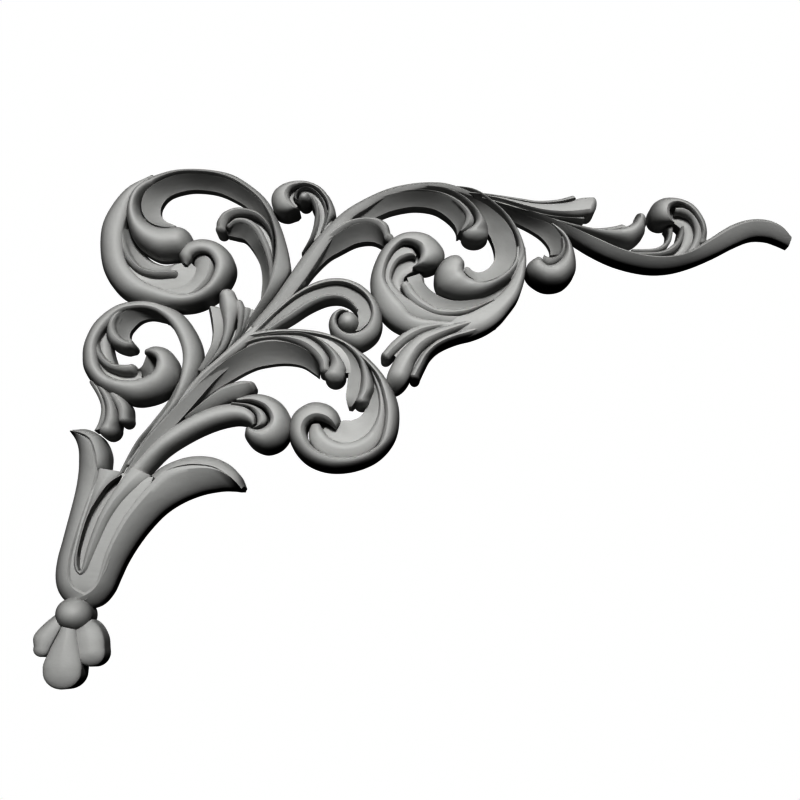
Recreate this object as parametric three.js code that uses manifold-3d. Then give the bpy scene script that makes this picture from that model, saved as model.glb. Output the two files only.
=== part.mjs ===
// A carved wood corner applique: one piece of leaf scrollwork with a long right arm and a short
// lower arm that ends in a calyx, a ball and a shell. It is seen from the front: +X is to the right,
// +Z is up, the relief rises towards -Y, and the flat back lies in the plane Y = 0.
import * as THREE from 'three';
import { mergeVertices } from 'three/addons/utils/BufferGeometryUtils.js';
import Module from 'manifold-3d';

// Driving dimensions in millimetres
const APPLIQUE_LENGTH = 380;
const RELIEF_HEIGHT = 24;
const LONGEST_FACET = 30;
const FINEST_FACET = 9;
const FACET_ALLOWANCE = 1.4;
const THINNEST_EDGE = 0.5;
const SAWN_ALLOWANCE = 4;

// The carving is drawn on a grid: so many squares long, and so many steps of relief high
const DRAWN_LENGTH = 380;
const DRAWN_HEIGHT = 24;
const SQUARE = APPLIQUE_LENGTH / DRAWN_LENGTH;
const STEP = RELIEF_HEIGHT / DRAWN_HEIGHT;

// The drawing lies on a plane in mid relief and is seen from below, from this place above the back.
// A point's line of sight carries it from the drawing to its own height in the carving.
const EYE = { x: 80, z: -155, height: 804 };
const DRAWING_PLANE = 14;

// Section of a leaf: where its crest lies from -1, its right edge, to 1, its left edge. Each edge
// has its height as a share of the crest's, and its swell: 1 is full and round, -1 is hollow.
const ROLL = { crest: 0, left: [0.42, 1], right: [0.42, 1] };
const RIDGE = { crest: 0, left: [0.82, 0.8], right: [0.82, 0.8] };
const FLAT = { crest: 0, left: [0.93, 0.6], right: [0.93, 0.6] };
const FALLS_LEFT = { crest: -0.9, left: [0.42, -0.4], right: [0.92, 0.8] };
const FALLS_RIGHT = { crest: 0.9, left: [0.92, 0.8], right: [0.42, -0.4] };
const LEANS_LEFT = { crest: -0.45, left: [0.6, 0.6], right: [0.68, 0.9] };
const LEANS_RIGHT = { crest: 0.45, left: [0.68, 0.9], right: [0.6, 0.6] };
const TROUGH = { crest: 0, left: [1.3, 0.9], right: [1.3, 0.9] };

// End of a leaf: its reach as a share of its half width, and how much lower it gets there. Leaves
// start with a round end too, which sinks into the wood, unless they start with a cut.
const CUT = null;
const SUNK = { reach: 0.9, fall: 0.6 };
const DOME = { reach: 1, fall: 0.1 };
const BLUNT = { reach: 0.9, fall: 0 };
const TIP = { reach: 1.5, fall: 0.1 };
const NIPPED = { reach: 0.4, fall: 0 };
const SLOPED = { reach: 1.2, fall: 0.6 };

const START_ANGLES = [70];
const END_ANGLES = [40, 75];

const leaf = (section, rungs, changes = {}) => ({ ...section, start: SUNK, end: CUT, rungs, ...changes });

// Each rung is [left x, left z, right x, right z, height], with left and right as seen by someone
// who walks along the front of the leaf
const upperScroll = [
  leaf(LEANS_RIGHT, [
    [-3, 5, 2, 5, 15], [5, 15.5, 12, 19, 16], [11.5, 27, 19, 29, 17], [14.2, 36, 24, 38, 17],
    [16.3, 46, 23.6, 46, 17], [16.3, 56, 21.3, 56, 17], [13.5, 66, 17.3, 66.5, 17],
    [8.5, 74, 12.5, 75, 17], [2, 80, 6, 81.5, 17], [-6, 85, -4, 88.2, 17], [-15, 88, -13, 90.8, 17],
    [-25, 89, -25, 91.9, 17], [-33, 88.6, -36, 91.2, 16.5], [-40, 86.5, -45, 88.6, 16],
    [-46, 83, -51, 86, 15], [-52, 77, -56.5, 80.5, 13], [-55, 70, -60, 73, 11],
  ]),
  leaf(FALLS_LEFT, [
    [14.6, 56, 16.8, 56, 12], [11, 63, 15.4, 64, 14], [4.5, 70, 10.4, 73.5, 16],
    [-3, 75.3, 1.2, 81.5, 16.5], [-13, 79.8, -10, 87.4, 16.5], [-24, 81.2, -25, 89.6, 16.5],
    [-32, 80, -36, 88.6, 16], [-38, 77.3, -45.5, 84.3, 15], [-41.5, 72.5, -51, 78.7, 14],
    [-41.8, 68, -52, 71, 13], [-39.5, 64.8, -48.5, 64.6, 12.5], [-36, 63.2, -42, 61.6, 12],
    [-34, 62.2, -35.5, 61, 12],
  ]),
  leaf(ROLL, [
    [-37, 84.5, -38, 87, 9], [-43.5, 82.5, -47.5, 86, 15], [-49.5, 78, -55.5, 79.5, 19],
    [-52, 72.5, -58.7, 69, 21], [-50.5, 66.5, -57, 58.5, 22], [-45.5, 62, -52, 50.5, 22],
    [-39.5, 60.5, -42.5, 44.8, 22], [-33, 61, -33, 45, 22],
  ], { end: DOME }),
  leaf(LEANS_LEFT, [
    [-46, 87, -47, 88, 12], [-55, 79.5, -60, 80.5, 15], [-59, 68, -69.5, 67, 16],
    [-61, 56, -72, 54, 17], [-59, 44, -69.5, 38, 17.5], [-52, 35, -61, 26, 18],
    [-42, 30, -48, 20.3, 18.5], [-32, 27, -36, 17.8, 19], [-24, 27.5, -22, 18.8, 20],
    [-18, 31.5, -10.5, 25.5, 21], [-14.7, 37, -3.8, 36, 21.5], [-14, 42.5, -4.5, 45, 21.5],
    [-17, 47.3, -11, 52, 21], [-21.5, 48.3, -20, 54.5, 20.5], [-25, 46.7, -28.5, 52, 19.5],
    [-26, 44.5, -32.3, 46.7, 18.5], [-27.5, 41.5, -30, 41.5, 16],
  ], { crest: 0.4, left: [0.85, 0.8], right: [0.4, 1] }),
  leaf(FLAT, [
    [-56, 44, -58, 36, 12], [-50, 38, -52, 31, 12.5], [-40, 37, -42, 28, 12.5],
    [-34, 42, -30, 28, 13], [-30, 43, -23, 33, 13], [-27, 44, -22, 39, 13],
  ]),
  leaf(LEANS_LEFT, [
    [-44, 30, -44, 24, 14], [-34, 30.2, -34, 22, 15.5], [-27.5, 33.5, -24, 24, 16],
    [-24.7, 37.5, -16.5, 31, 16.5], [-24.3, 41, -13.5, 38, 16.5], [-24.5, 44, -13.8, 44, 16],
    [-25, 46, -18, 48.5, 15],
  ]),
  leaf(ROLL, [
    [-59, 71, -59.4, 71, 12], [-59.5, 62, -62, 60, 14.5], [-58.5, 53.5, -61.8, 51, 15.5],
    [-55.5, 46, -59, 43, 16], [-50, 40.5, -53, 36.5, 16.5], [-43, 38.8, -45, 33.2, 17],
    [-34, 39, -34, 33, 17],
  ], { end: DOME, left: [0.75, 0.7], crest: 0.3 }),
  leaf(FALLS_LEFT, [
    [-55, 60, -60, 60, 14], [-52, 51.5, -59, 49, 14], [-47, 45, -54, 41, 14],
    [-43, 42.5, -47, 37, 14], [-38, 41.5, -40, 37, 14], [-32, 43, -33, 38, 14],
  ]),
];

const innerLeaf = [
  leaf(FLAT, [
    [12, 38, 15.5, 38, 11], [10, 49, 16, 49, 12], [6, 56, 13.5, 60, 12], [1, 60.5, 5, 67, 12],
    [-5, 61, -5, 68, 12],
  ]),
  leaf(FALLS_LEFT, [
    [9.5, 22, 13, 25, 12], [10.3, 32, 14.2, 33, 14.5], [9.8, 39, 13.2, 41, 15.5],
    [7.7, 45.5, 11.6, 47, 16], [4.5, 51, 9.2, 52.8, 16.5], [1, 55, 6, 59.5, 16.5],
    [-3, 56.2, 1, 63, 16.5], [-7.5, 57.2, -5, 63.2, 16],
  ], { end: NIPPED, left: [0.52, -0.3] }),
  leaf(ROLL, [
    [13.6, 32, 15, 33, 14], [13.4, 40, 15.7, 41, 16], [11.3, 48, 14.6, 48.5, 17],
    [8.3, 55, 12, 55.5, 17.5], [4.7, 60.4, 8.5, 61.5, 18], [0.5, 63.2, 3, 65.8, 18],
    [-3.5, 63.3, -3.5, 66.3, 17.5], [-6.3, 61, -8, 62.8, 16],
  ], { end: DOME, left: [0.88, 0.6], right: [0.85, 0.6] }),
  leaf(ROLL, [
    [15, 40, 16, 40, 14], [15.3, 48, 16.3, 49, 16], [14.5, 56, 15.6, 57.5, 17.5],
    [11.5, 62, 13.2, 63.5, 18.5], [7, 66, 8.5, 68.3, 19.5], [2, 67.6, 2.5, 70.6, 20],
    [-3, 67.5, -3.8, 71, 20], [-6.7, 65.5, -10, 68.4, 19.5], [-8.4, 62, -12.9, 64.2, 19],
    [-8.6, 59.6, -13.3, 61, 18.5],
  ], { end: BLUNT, left: [0.82, 0.6], right: [0.6, 0.9] }),
];

const lowerScroll = [
  leaf(ROLL, [
    [-56, -60, -52, -61, 13], [-44.5, -43, -40, -44, 14.5], [-34.5, -28.5, -28, -29.5, 16],
    [-30.5, -17, -21, -16.5, 17], [-29, -6, -18.8, -5, 17], [-31, 3, -22, 6, 17],
    [-36, 11.5, -29.5, 16, 17], [-43, 17, -41, 21.8, 17], [-51, 18.8, -52, 22.6, 17],
    [-60, 17, -63, 20, 17], [-67, 10.5, -73, 12, 17.5], [-71.5, 3, -78, 2, 18],
    [-72, -4, -79, -6, 18.5], [-70, -11.5, -77.5, -13.5, 19], [-64, -16.3, -71, -22, 20],
    [-55, -17.6, -60, -27.5, 21], [-48, -15.8, -50, -30, 22], [-43.5, -12.5, -38, -26.5, 23],
    [-42.3, -8, -30.3, -18, 23], [-42.8, -6, -31, -9, 22.5], [-44.3, -4.7, -35.5, -2.7, 21],
    [-46.3, -4, -41.5, -0.8, 18], [-48, -4.2, -46.5, -2, 14],
  ], { crest: 0.4, left: [0.8, 0.8], right: [0.42, 1] }),
  leaf(FALLS_RIGHT, [
    [-52, -12.5, -52, -17.5, 12], [-49.5, -10.5, -44, -15, 12], [-48, -7, -41, -9.5, 12],
    [-47.3, -4.5, -42, -5, 12], [-47.3, -3, -44.5, -2.5, 12],
  ]),
  leaf(FALLS_LEFT, [
    [-38, 12.5, -36, 16, 14], [-45, 13.9, -45, 19.5, 14.5], [-50.5, 12.5, -52, 20.3, 15],
    [-55, 8, -61, 16.5, 15], [-56, 5, -64, 10, 15], [-55.5, 3.5, -63, 3.5, 14.5],
    [-54.5, 2.5, -58, 0.5, 14],
  ]),
  leaf(ROLL, [
    [-52, 19.3, -53, 20.6, 14], [-59, 16.6, -62, 17.6, 16], [-62.6, 12, -66.6, 11, 17.5],
    [-62.3, 7.5, -67, 3.5, 18], [-60, 4.3, -63.5, -1.5, 18.5], [-57, 2.4, -57.5, -4, 18],
    [-55, 2, -54.2, -3.6, 17],
  ], { end: DOME, crest: 0.35, left: [0.75, 0.9], right: [0.4, 1] }),
  leaf(ROLL, [
    [-70.5, 8, -71.5, 7, 14], [-70.8, 0, -73, -2, 15.5], [-68, -5.7, -71.3, -8, 16.5],
    [-63, -9.2, -66.7, -13, 17], [-57, -9.8, -59, -16, 18], [-54.5, -9.3, -53.5, -16.3, 18],
  ], { end: DOME, crest: 0.35, left: [0.75, 0.9], right: [0.4, 1] }),
  leaf(TROUGH, [
    [-60, 14, -68, 14, 10], [-65.3, 5, -72, 7, 10], [-65.3, -1, -72, -1.5, 10],
    [-63, -8, -71, -9, 10], [-61, -11, -68, -15, 10], [-55, -12, -57, -20, 10],
    [-50, -12, -50, -18, 10],
  ]),
];

const lobes = [
  leaf(FLAT, [
    [-60, -20, -74, -18.5, 11], [-57, -27, -69, -29, 12], [-58.5, -34, -69, -38, 12],
    [-59.5, -38.5, -69, -42, 12],
  ]),
  leaf(RIDGE, [
    [-72, -18, -75.5, -18.5, 14], [-68.3, -25, -71, -26, 15], [-66.3, -32, -69.2, -32, 15.5],
    [-66.5, -38, -70.2, -38.5, 15.5], [-68, -42.5, -72.3, -43, 14.5],
  ]),
  leaf(ROLL, [
    [-68, -20, -72.5, -20, 15], [-63, -26, -68.7, -26.5, 18], [-60.3, -32, -67, -32.5, 19],
    [-59.3, -38, -67.7, -38.5, 20], [-59.6, -42, -70, -42.5, 20],
  ], { end: DOME, left: [0.5, 1], right: [0.7, 0.9] }),
  leaf(ROLL, [
    [-62, -22, -67, -22.5, 15], [-57, -27, -63.5, -28, 17.5], [-54, -31.5, -61, -33, 18.5],
    [-53.5, -37, -60.3, -38.2, 19],
  ], { end: DOME, left: [0.5, 1], right: [0.75, 0.9] }),
];

const stems = [
  leaf(FLAT, [
    [-59, -66, -48, -65, 11], [-57, -61.5, -48, -61, 11], [-41, -41.5, -33, -42, 12],
    [-29, -26, -22, -28, 12], [-19, -12, -12, -17, 12], [-11, -1, -3, -7, 12], [-3, 8, 7, 2, 12],
    [4, 14, 12, 9, 11], [11, 24, 17, 20, 10],
  ]),
  leaf(ROLL, [
    [-60, -66.5, -57, -67.5, 12], [-51.5, -50, -48.5, -51.5, 14.5], [-43.8, -40, -40.5, -41.5, 15],
    [-36, -29.5, -33, -31, 15], [-30.6, -19, -28, -20, 15], [-27.5, -12, -25, -13, 12],
  ]),
  leaf(RIDGE, [
    [-58, -67, -52, -67, 14], [-47.5, -48.5, -39, -48.5, 17], [-38.5, -37.5, -30, -38, 17.5],
    [-28, -26, -21.5, -28, 17.5], [-18, -15.5, -13, -18, 17], [-8, -6.5, -4, -9.5, 15.5],
    [1, 1, 4, -1.5, 12],
  ], { crest: 0.6, right: [0.8, 0] }),
  leaf(RIDGE, [
    [-33, -30, -30, -32, 14], [-22, -16, -19, -18.5, 16.5], [-12, -6.5, -8.5, -9, 17],
    [-3, 2, 1, -1.5, 16.5], [5, 9, 9, 6, 15], [11, 14.5, 13.5, 12.5, 12],
  ]),
];

const fanLeaf = [
  leaf(ROLL, [
    [-21, -14, -18.5, -12.5, 13], [-17, -6.5, -13, -4.5, 15], [-14.5, -1, -10.7, 0.5, 16],
    [-13.9, 5, -9, 6.5, 16.5], [-14.8, 11.5, -8.7, 12, 17], [-16, 17.7, -10.5, 19.3, 17],
  ], { end: NIPPED, crest: 0.5, left: [0.25, 0.8], right: [0.85, 0.5] }),
  leaf(ROLL, [
    [-18, -12.5, -16, -11, 14], [-11.5, -2.5, -8.2, -2.5, 16.5], [-9.2, 5, -4.5, 5.5, 18],
    [-9.2, 12, -2.8, 12.5, 19], [-11, 20, -1.2, 20.5, 20], [-11.4, 25, -3.3, 26, 20],
  ], { end: BLUNT, crest: 0.1, left: [0.62, 0.9], right: [0.8, 0.9] }),
  leaf(RIDGE, [
    [-10, -6, -8, -6.5, 14], [-5.5, 0.5, -3.5, 0.5, 16], [-3, 5.5, -0.3, 6, 17],
    [-2, 12, 1, 12.5, 18], [-2.6, 17.5, 1.6, 18.5, 18.5], [-3.6, 21.5, 0.7, 22, 18],
  ], { end: BLUNT }),
  leaf(RIDGE, [
    [-5, -1, -3, -1, 14], [-0.5, 6, 1.5, 7.5, 15.5], [0.8, 12.5, 3.6, 13.5, 16.5],
    [1, 19.2, 5, 18.6, 16.5],
  ], { end: NIPPED }),
  leaf(FLAT, [
    [-2, 2, 0, 2.5, 12], [2, 8, 4.5, 12, 14], [3.5, 14, 7, 17, 15], [4, 18.8, 7.5, 18.4, 15],
  ]),
];

const mainLeaf = [
  leaf(LEANS_LEFT, [
    [5, 11, 10, 8, 14], [15, 23, 20, 19, 16], [24.5, 37, 31, 33, 17.5], [30, 45.4, 37, 42, 18],
    [36, 53.6, 43, 51.5, 18], [42, 60.7, 48, 58.5, 18], [47, 65.7, 53, 63.5, 18],
    [53, 70.7, 57.5, 67.8, 18.5], [60, 75, 64, 71.8, 18.5], [68, 79, 70.5, 76, 19],
    [76, 82, 77.5, 79, 19], [86, 84, 87, 81.2, 19], [95, 84.6, 95, 82.4, 19],
    [103, 84.2, 102, 81.8, 18.5], [111, 82, 110, 79.9, 16.5], [118, 79.6, 117, 77.6, 13],
  ], { crest: 0, right: [0.9, 0.4] }),
  leaf(FALLS_RIGHT, [
    [31, 38, 29, 27, 14], [36, 46, 36, 37, 16], [42, 53.5, 43.5, 45, 17], [48, 58, 50, 49, 17.5],
    [56, 62.5, 57, 52.7, 18], [62, 63.9, 63, 54, 18], [67.5, 62.5, 67.5, 53.5, 17.5],
    [72.5, 57, 71.8, 51.2, 17],
  ], { right: [0.5, -0.3] }),
  leaf(ROLL, [
    [37, 50.6, 37.6, 48.5, 16], [46, 59.5, 46.3, 56, 18], [54, 64.4, 54.5, 61.6, 19],
    [62, 66, 62, 63.3, 19.5], [69, 65.5, 67.8, 62, 19.5], [73.7, 62.5, 70.8, 58.8, 19.5],
    [75.3, 57.7, 72, 55, 19],
  ], { end: TIP, left: [0.6, 0.9], right: [0.85, 0.6] }),
  leaf(FALLS_RIGHT, [
    [58, 70, 55, 58, 14], [66, 75, 64, 64.5, 17], [74, 78.5, 74, 69.5, 18.5],
    [84, 80.2, 84, 72, 19.5], [92, 80.1, 91, 72.2, 20], [99, 79, 97.5, 70.9, 20],
    [105, 76.5, 102.5, 68, 20], [110, 72.5, 106.3, 64.5, 19.5], [113.2, 67.5, 108.5, 61, 19],
    [112.5, 62.5, 109, 58, 18], [110.2, 58.8, 108.8, 56.8, 17],
  ], { right: [0.56, -0.3] }),
  leaf(ROLL, [
    [76, 79.4, 76, 78.4, 16], [84, 80.8, 84, 79.8, 19], [92, 81.3, 92, 80, 20.5],
    [101, 80, 100, 78.3, 21], [108, 77.2, 106, 75.4, 21.5], [113.5, 73, 110, 72.3, 22],
    [117, 68, 113.2, 68, 22], [117.7, 64.2, 113, 64.2, 21.5], [115.5, 60.8, 111.8, 62, 20],
    [111.5, 58.6, 110.5, 59.4, 18],
  ], { left: [0.88, 0.6], right: [0.88, 0.6] }),
  leaf(ROLL, [
    [86, 82, 86, 81, 16], [95, 81.8, 95, 80.8, 19], [103, 80.6, 102.5, 79.6, 20.5],
    [110, 77.9, 109, 76.6, 21.5], [116, 73.8, 114, 72.7, 22], [121, 68, 117.6, 68, 22.5],
    [124.2, 62.5, 117.8, 63, 22.5], [124.9, 58.3, 111.5, 58.3, 22],
  ], { end: { reach: 0.78, fall: 0 }, left: [0.55, 0.9], right: [0.7, 0.8] }),
];

const rightScroll = [
  leaf(FALLS_RIGHT, [
    [90, 82.4, 90, 80.5, 15], [100, 82.2, 100, 79.5, 17], [108, 80.4, 107, 77, 18],
    [116, 77.4, 114, 73, 18.5], [125, 72.5, 119, 67, 18.5], [133, 65.6, 123, 60.5, 18],
    [137.5, 58.6, 125.8, 56.5, 17.5], [139.3, 50.5, 128, 50, 17], [138.5, 44.3, 127.8, 44.5, 16.5],
    [134.5, 38.3, 125, 40.3, 16], [127.5, 34, 121.2, 38.2, 15.5], [120.5, 32.6, 117.5, 38.5, 15],
    [115, 35.3, 114.5, 40.8, 14.5], [112.3, 38.3, 112.7, 40.5, 14],
  ], { right: [0.56, -0.3] }),
  leaf(ROLL, [
    [101, 82.4, 101, 80.8, 10], [112, 80.9, 111, 79.6, 15.5], [120, 79, 119, 76.8, 16.5],
    [129, 72.3, 126.5, 71.2, 17], [136.8, 64.2, 133, 64.2, 17], [141.8, 54.6, 138, 54.6, 17],
    [143.8, 45.4, 138.8, 47.4, 17], [142.3, 38.3, 136, 40.8, 16], [138.5, 31, 134, 34, 13.5],
  ]),
  leaf(ROLL, [
    [141.4, 50, 138.8, 50, 15], [141, 42, 137.5, 43, 17], [136.5, 34, 133, 37.8, 19],
    [129.5, 28.4, 127, 34, 20], [120.5, 23.8, 121, 33, 21], [111, 22.9, 115.5, 35, 22],
    [103.5, 25, 113, 37.4, 23], [98.5, 29, 112.3, 38.6, 23], [97.3, 35.8, 112, 39.3, 23],
    [100, 42, 112, 40, 22], [104.5, 45.6, 112.2, 40.5, 21], [109, 46.1, 112.4, 41, 19],
    [111.5, 43.4, 112.6, 41.4, 17],
  ], { crest: -0.5, left: [0.42, 1], right: [0.8, 0.8] }),
  leaf(RIDGE, [
    [143.6, 50, 141.5, 51, 13], [144, 43.4, 140.5, 45.4, 16], [143, 34.3, 138, 37.8, 16.5],
    [140, 25.3, 134, 30.8, 16.5], [135.5, 18.7, 129, 25.3, 16.5], [130.3, 12.6, 121, 20.2, 16.5],
    [124, 8, 114, 16.7, 16.5], [116, 4.5, 107, 15, 15.5], [108, 2.5, 101, 13.5, 13],
  ], { crest: 0.2, left: [0.75, 0.9] }),
  leaf(RIDGE, [
    [128, 24, 127, 22.4, 15.5], [116, 20, 115, 16.8, 16.5], [107, 18.8, 106, 15.3, 16.5],
    [99, 19.6, 97.6, 15.9, 16.5], [92.4, 23.4, 89.4, 19.7, 16.5], [87.7, 28, 83.4, 25, 16],
    [85, 32, 80.5, 30.3, 16],
  ], { end: DOME }),
];

const rightVolute = [
  leaf(LEANS_RIGHT, [
    [112, 4.5, 112, 12.5, 14], [98, 5.8, 98, 13, 15], [85, 5.6, 87, 15.5, 16],
    [75, 10.2, 82, 21.5, 17.5], [68, 19, 77, 27.5, 18], [65, 30.3, 73, 33.7, 18.5],
    [66.5, 40.4, 73.5, 41, 19], [71.5, 50.5, 76.5, 47.5, 20], [79, 56.7, 81, 52.4, 21],
    [87, 58.5, 85.5, 52.6, 22], [95, 56.7, 89.5, 50.4, 23], [101, 51.1, 90.3, 47, 23],
    [102.6, 46, 89.3, 44, 23], [100, 41, 88, 42, 22], [94.5, 37.9, 87, 41.2, 20],
    [90, 37.5, 86.5, 40.5, 18], [87.5, 38.3, 86.3, 39.7, 15],
  ], { crest: -0.5, left: [0.5, 1], right: [0.8, 0.8] }),
  leaf(RIDGE, [
    [112, 10.5, 112, 15.5, 14], [100, 11.5, 100, 16.5, 15], [88.5, 13.5, 91.5, 20, 15.5],
    [79, 19.5, 84, 24.5, 16], [73, 27, 78.5, 29.5, 16], [70.2, 34, 76, 34.2, 16],
    [71, 42.3, 77, 39.2, 16], [75, 48.6, 79.5, 43.2, 16], [80.7, 51.8, 83.5, 45.4, 16],
    [86, 50.6, 86.5, 45.9, 16], [88.5, 47, 87.8, 45, 15],
  ], { crest: -0.5 }),
  leaf(TROUGH, [
    [82, 21, 90, 23, 9], [77.5, 28, 84, 29, 9], [75.5, 33.5, 82, 34.3, 9],
    [76.5, 38.8, 84.5, 37.3, 9], [79, 43, 88, 38.3, 9], [84, 47, 92, 38, 9], [87, 48.5, 92, 44, 9],
  ]),
  leaf(FALLS_RIGHT, [
    [136, 31, 134, 35, 11], [129, 25, 128, 31, 11.5], [122, 21, 122, 26, 12.5],
    [116, 19, 116, 23.8, 13], [107, 17.8, 107.5, 23.2, 13.5],
    [99, 19, 100.8, 25.2, 13.5], [92.5, 22.7, 95.7, 28.3, 13.5], [87.5, 27.7, 92.7, 31.8, 13.5],
    [84.5, 32.3, 92, 34.8, 13.5], [83.5, 35.3, 91, 36.8, 13],
  ], { crest: -0.7, left: [0.8, -0.3], right: [0.7, 0.8] }),
];

const tailLeaf = [
  leaf(FLAT, [
    [122, 9, 120, 15, 12], [106, 3.5, 105, 11, 14], [94, -2, 91, 9, 15], [88.5, -9, 81.5, 4, 15.5],
    [86, -14, 76, -4, 15.5],
  ]),
  leaf(ROLL, [
    [128, 9.5, 127, 13.5, 12.5], [118, 4.6, 116, 9.5, 16], [108, 1.8, 107, 6.5, 17],
    [100, -1.8, 98.5, 2.8, 17.5], [95.3, -6, 92, -2.8, 18], [92.3, -11.5, 88, -9, 18],
    [90, -16.5, 84.8, -15, 18],
  ], { end: SLOPED, left: [0.5, 0.9], right: [0.8, 0.8] }),
  leaf(ROLL, [
    [126, 13.5, 125, 15.3, 12.5], [113, 8.8, 112, 12.5, 17], [102, 4.5, 101, 9.5, 18.5],
    [93, -1, 91, 6.5, 20], [88, -7.5, 83.8, 1, 21], [86, -13, 78, -5.8, 21.5],
    [84.6, -16.6, 74.8, -11.8, 21.5],
  ], { end: { reach: 1.8, fall: 0.7 }, crest: 0.1, left: [0.75, 0.8], right: [0.72, 0.9] }),
  leaf(ROLL, [
    [108, 10.5, 108, 12, 12.5], [94, 7, 93, 11.2, 17], [85.5, 2.5, 83.5, 7.8, 18.5],
    [79, -3, 76.5, 2.5, 19], [74.8, -7.2, 71.5, -3.2, 19],
  ], { end: SLOPED, left: [0.75, 0.8], right: [0.8, 0.8] }),
];

const rightArm = [
  leaf(ROLL, [
    [106, 81.6, 106, 79.8, 10], [116, 80.2, 116, 78.6, 14.5], [126, 79, 126, 77.4, 16.5],
    [140, 76.9, 140, 74.8, 17], [150, 75.4, 150, 73.2, 17.5], [160, 76, 160, 73.6, 18],
    [168, 78.1, 169.4, 75.6, 18],
  ], { end: NIPPED, crest: -0.6, left: [0.85, 0.6], right: [0.8, 0.8] }),
  leaf(ROLL, [
    [112, 80.9, 112, 79.4, 13], [130, 78.2, 130, 75.4, 17], [145, 75, 145, 70.8, 18],
    [155, 74, 155, 68.2, 19], [165, 74.6, 164.5, 67.2, 20], [172, 76.8, 170.5, 67, 20],
    [178.8, 77.3, 175.5, 67.8, 20],
  ], { end: { reach: 0.6, fall: 0.1 }, crest: -0.5, left: [0.82, 0.6], right: [0.8, 0.8] }),
  leaf(RIDGE, [
    [122, 77.6, 122, 76, 15], [140, 72.4, 140, 70.3, 16], [155, 68.4, 155, 66.7, 16.5],
    [165, 67.3, 165, 65.5, 16.5], [173.6, 67.6, 173.6, 64.6, 16],
  ], { crest: -0.5, left: [0.85, 0.6] }),
  leaf(RIDGE, [
    [158, 66.4, 158, 64.6, 15], [170, 62.7, 170, 60.6, 16], [180, 61, 180, 58.8, 16.5],
    [188, 61.8, 189, 59.2, 17], [192.8, 63, 196, 60.4, 16],
  ], { crest: -0.5, left: [0.85, 0.6] }),
  leaf(ROLL, [
    [156, 65, 156, 62.5, 15], [172, 60.6, 172, 57.5, 17], [182, 59.1, 181, 54.5, 18],
    [191, 59.6, 189, 52.3, 19], [197, 62.3, 197, 51.4, 19.5], [199.5, 65.5, 203.3, 56.5, 19.5],
    [200, 67.2, 204.3, 61.2, 19],
  ], { end: { reach: 0.7, fall: 0 }, crest: 0.2 }),
];

const forkVolute = [
  leaf(FALLS_RIGHT, [
    [128, 74, 129, 71, 14], [133, 72, 133, 67.6, 14.5], [140.5, 69, 138.5, 64.1, 14.5],
    [148.5, 66.1, 146, 60.1, 14.5], [156, 63.4, 151.5, 56.3, 14.5], [161, 58.6, 155, 52.2, 14.5],
    [163, 52.8, 156.3, 49, 14.5], [161.6, 47.3, 156.2, 46.9, 14],
  ]),
  leaf(RIDGE, [
    [163.3, 57, 162, 55, 16], [164.4, 51.4, 162, 50.5, 16.5], [163, 46.2, 160.6, 47.3, 16.5],
    [159.2, 42.8, 157.8, 45.8, 16.5], [155, 41.7, 155, 45.8, 16.5], [151.8, 43.4, 153, 47, 16],
  ], { crest: -0.5, left: [0.8, 0.6] }),
  leaf(ROLL, [
    [157, 63.2, 157, 61.7, 15], [163.3, 58, 162.3, 56, 17], [167, 51.6, 164, 51, 19],
    [168.9, 43.2, 162.8, 46.4, 21], [168, 36.5, 159.5, 42.9, 22], [162.2, 30.3, 156.5, 41.7, 23],
    [154, 29, 154.5, 41.9, 23.5], [147.3, 32.2, 153.5, 42.4, 23.5], [143.8, 36.7, 153, 42.9, 23],
    [144.5, 41.5, 152.5, 43.2, 22], [148.5, 44.6, 152.3, 43.6, 19],
  ], { crest: -0.4, left: [0.42, 1], right: [0.75, 0.8] }),
];

const armTail = [
  leaf(LEANS_RIGHT, [
    [118, 79.5, 118, 77, 15], [128, 76.5, 128, 74, 16], [140, 72, 139, 69.5, 16.5],
    [155, 66.5, 153, 63.5, 17.5], [168, 61, 163.5, 58, 18.5], [180, 55.7, 176.5, 49.6, 19],
    [192, 50.3, 189.5, 43.4, 19.5], [205, 46.8, 204, 39.7, 19.5], [216, 46.3, 216, 39.5, 19],
    [226, 48.5, 227.5, 42.2, 18.5], [237, 55.3, 240, 47.4, 18], [248, 62.2, 251, 53, 17],
    [258, 65.3, 259.5, 56.2, 16], [267, 65, 267, 56, 15], [274, 61.8, 272.5, 54, 14],
    [278.6, 56.2, 277.2, 51.4, 12],
  ], { crest: 0.55, left: [0.75, 0.9], right: [0.62, 0.4] }),
];

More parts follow.
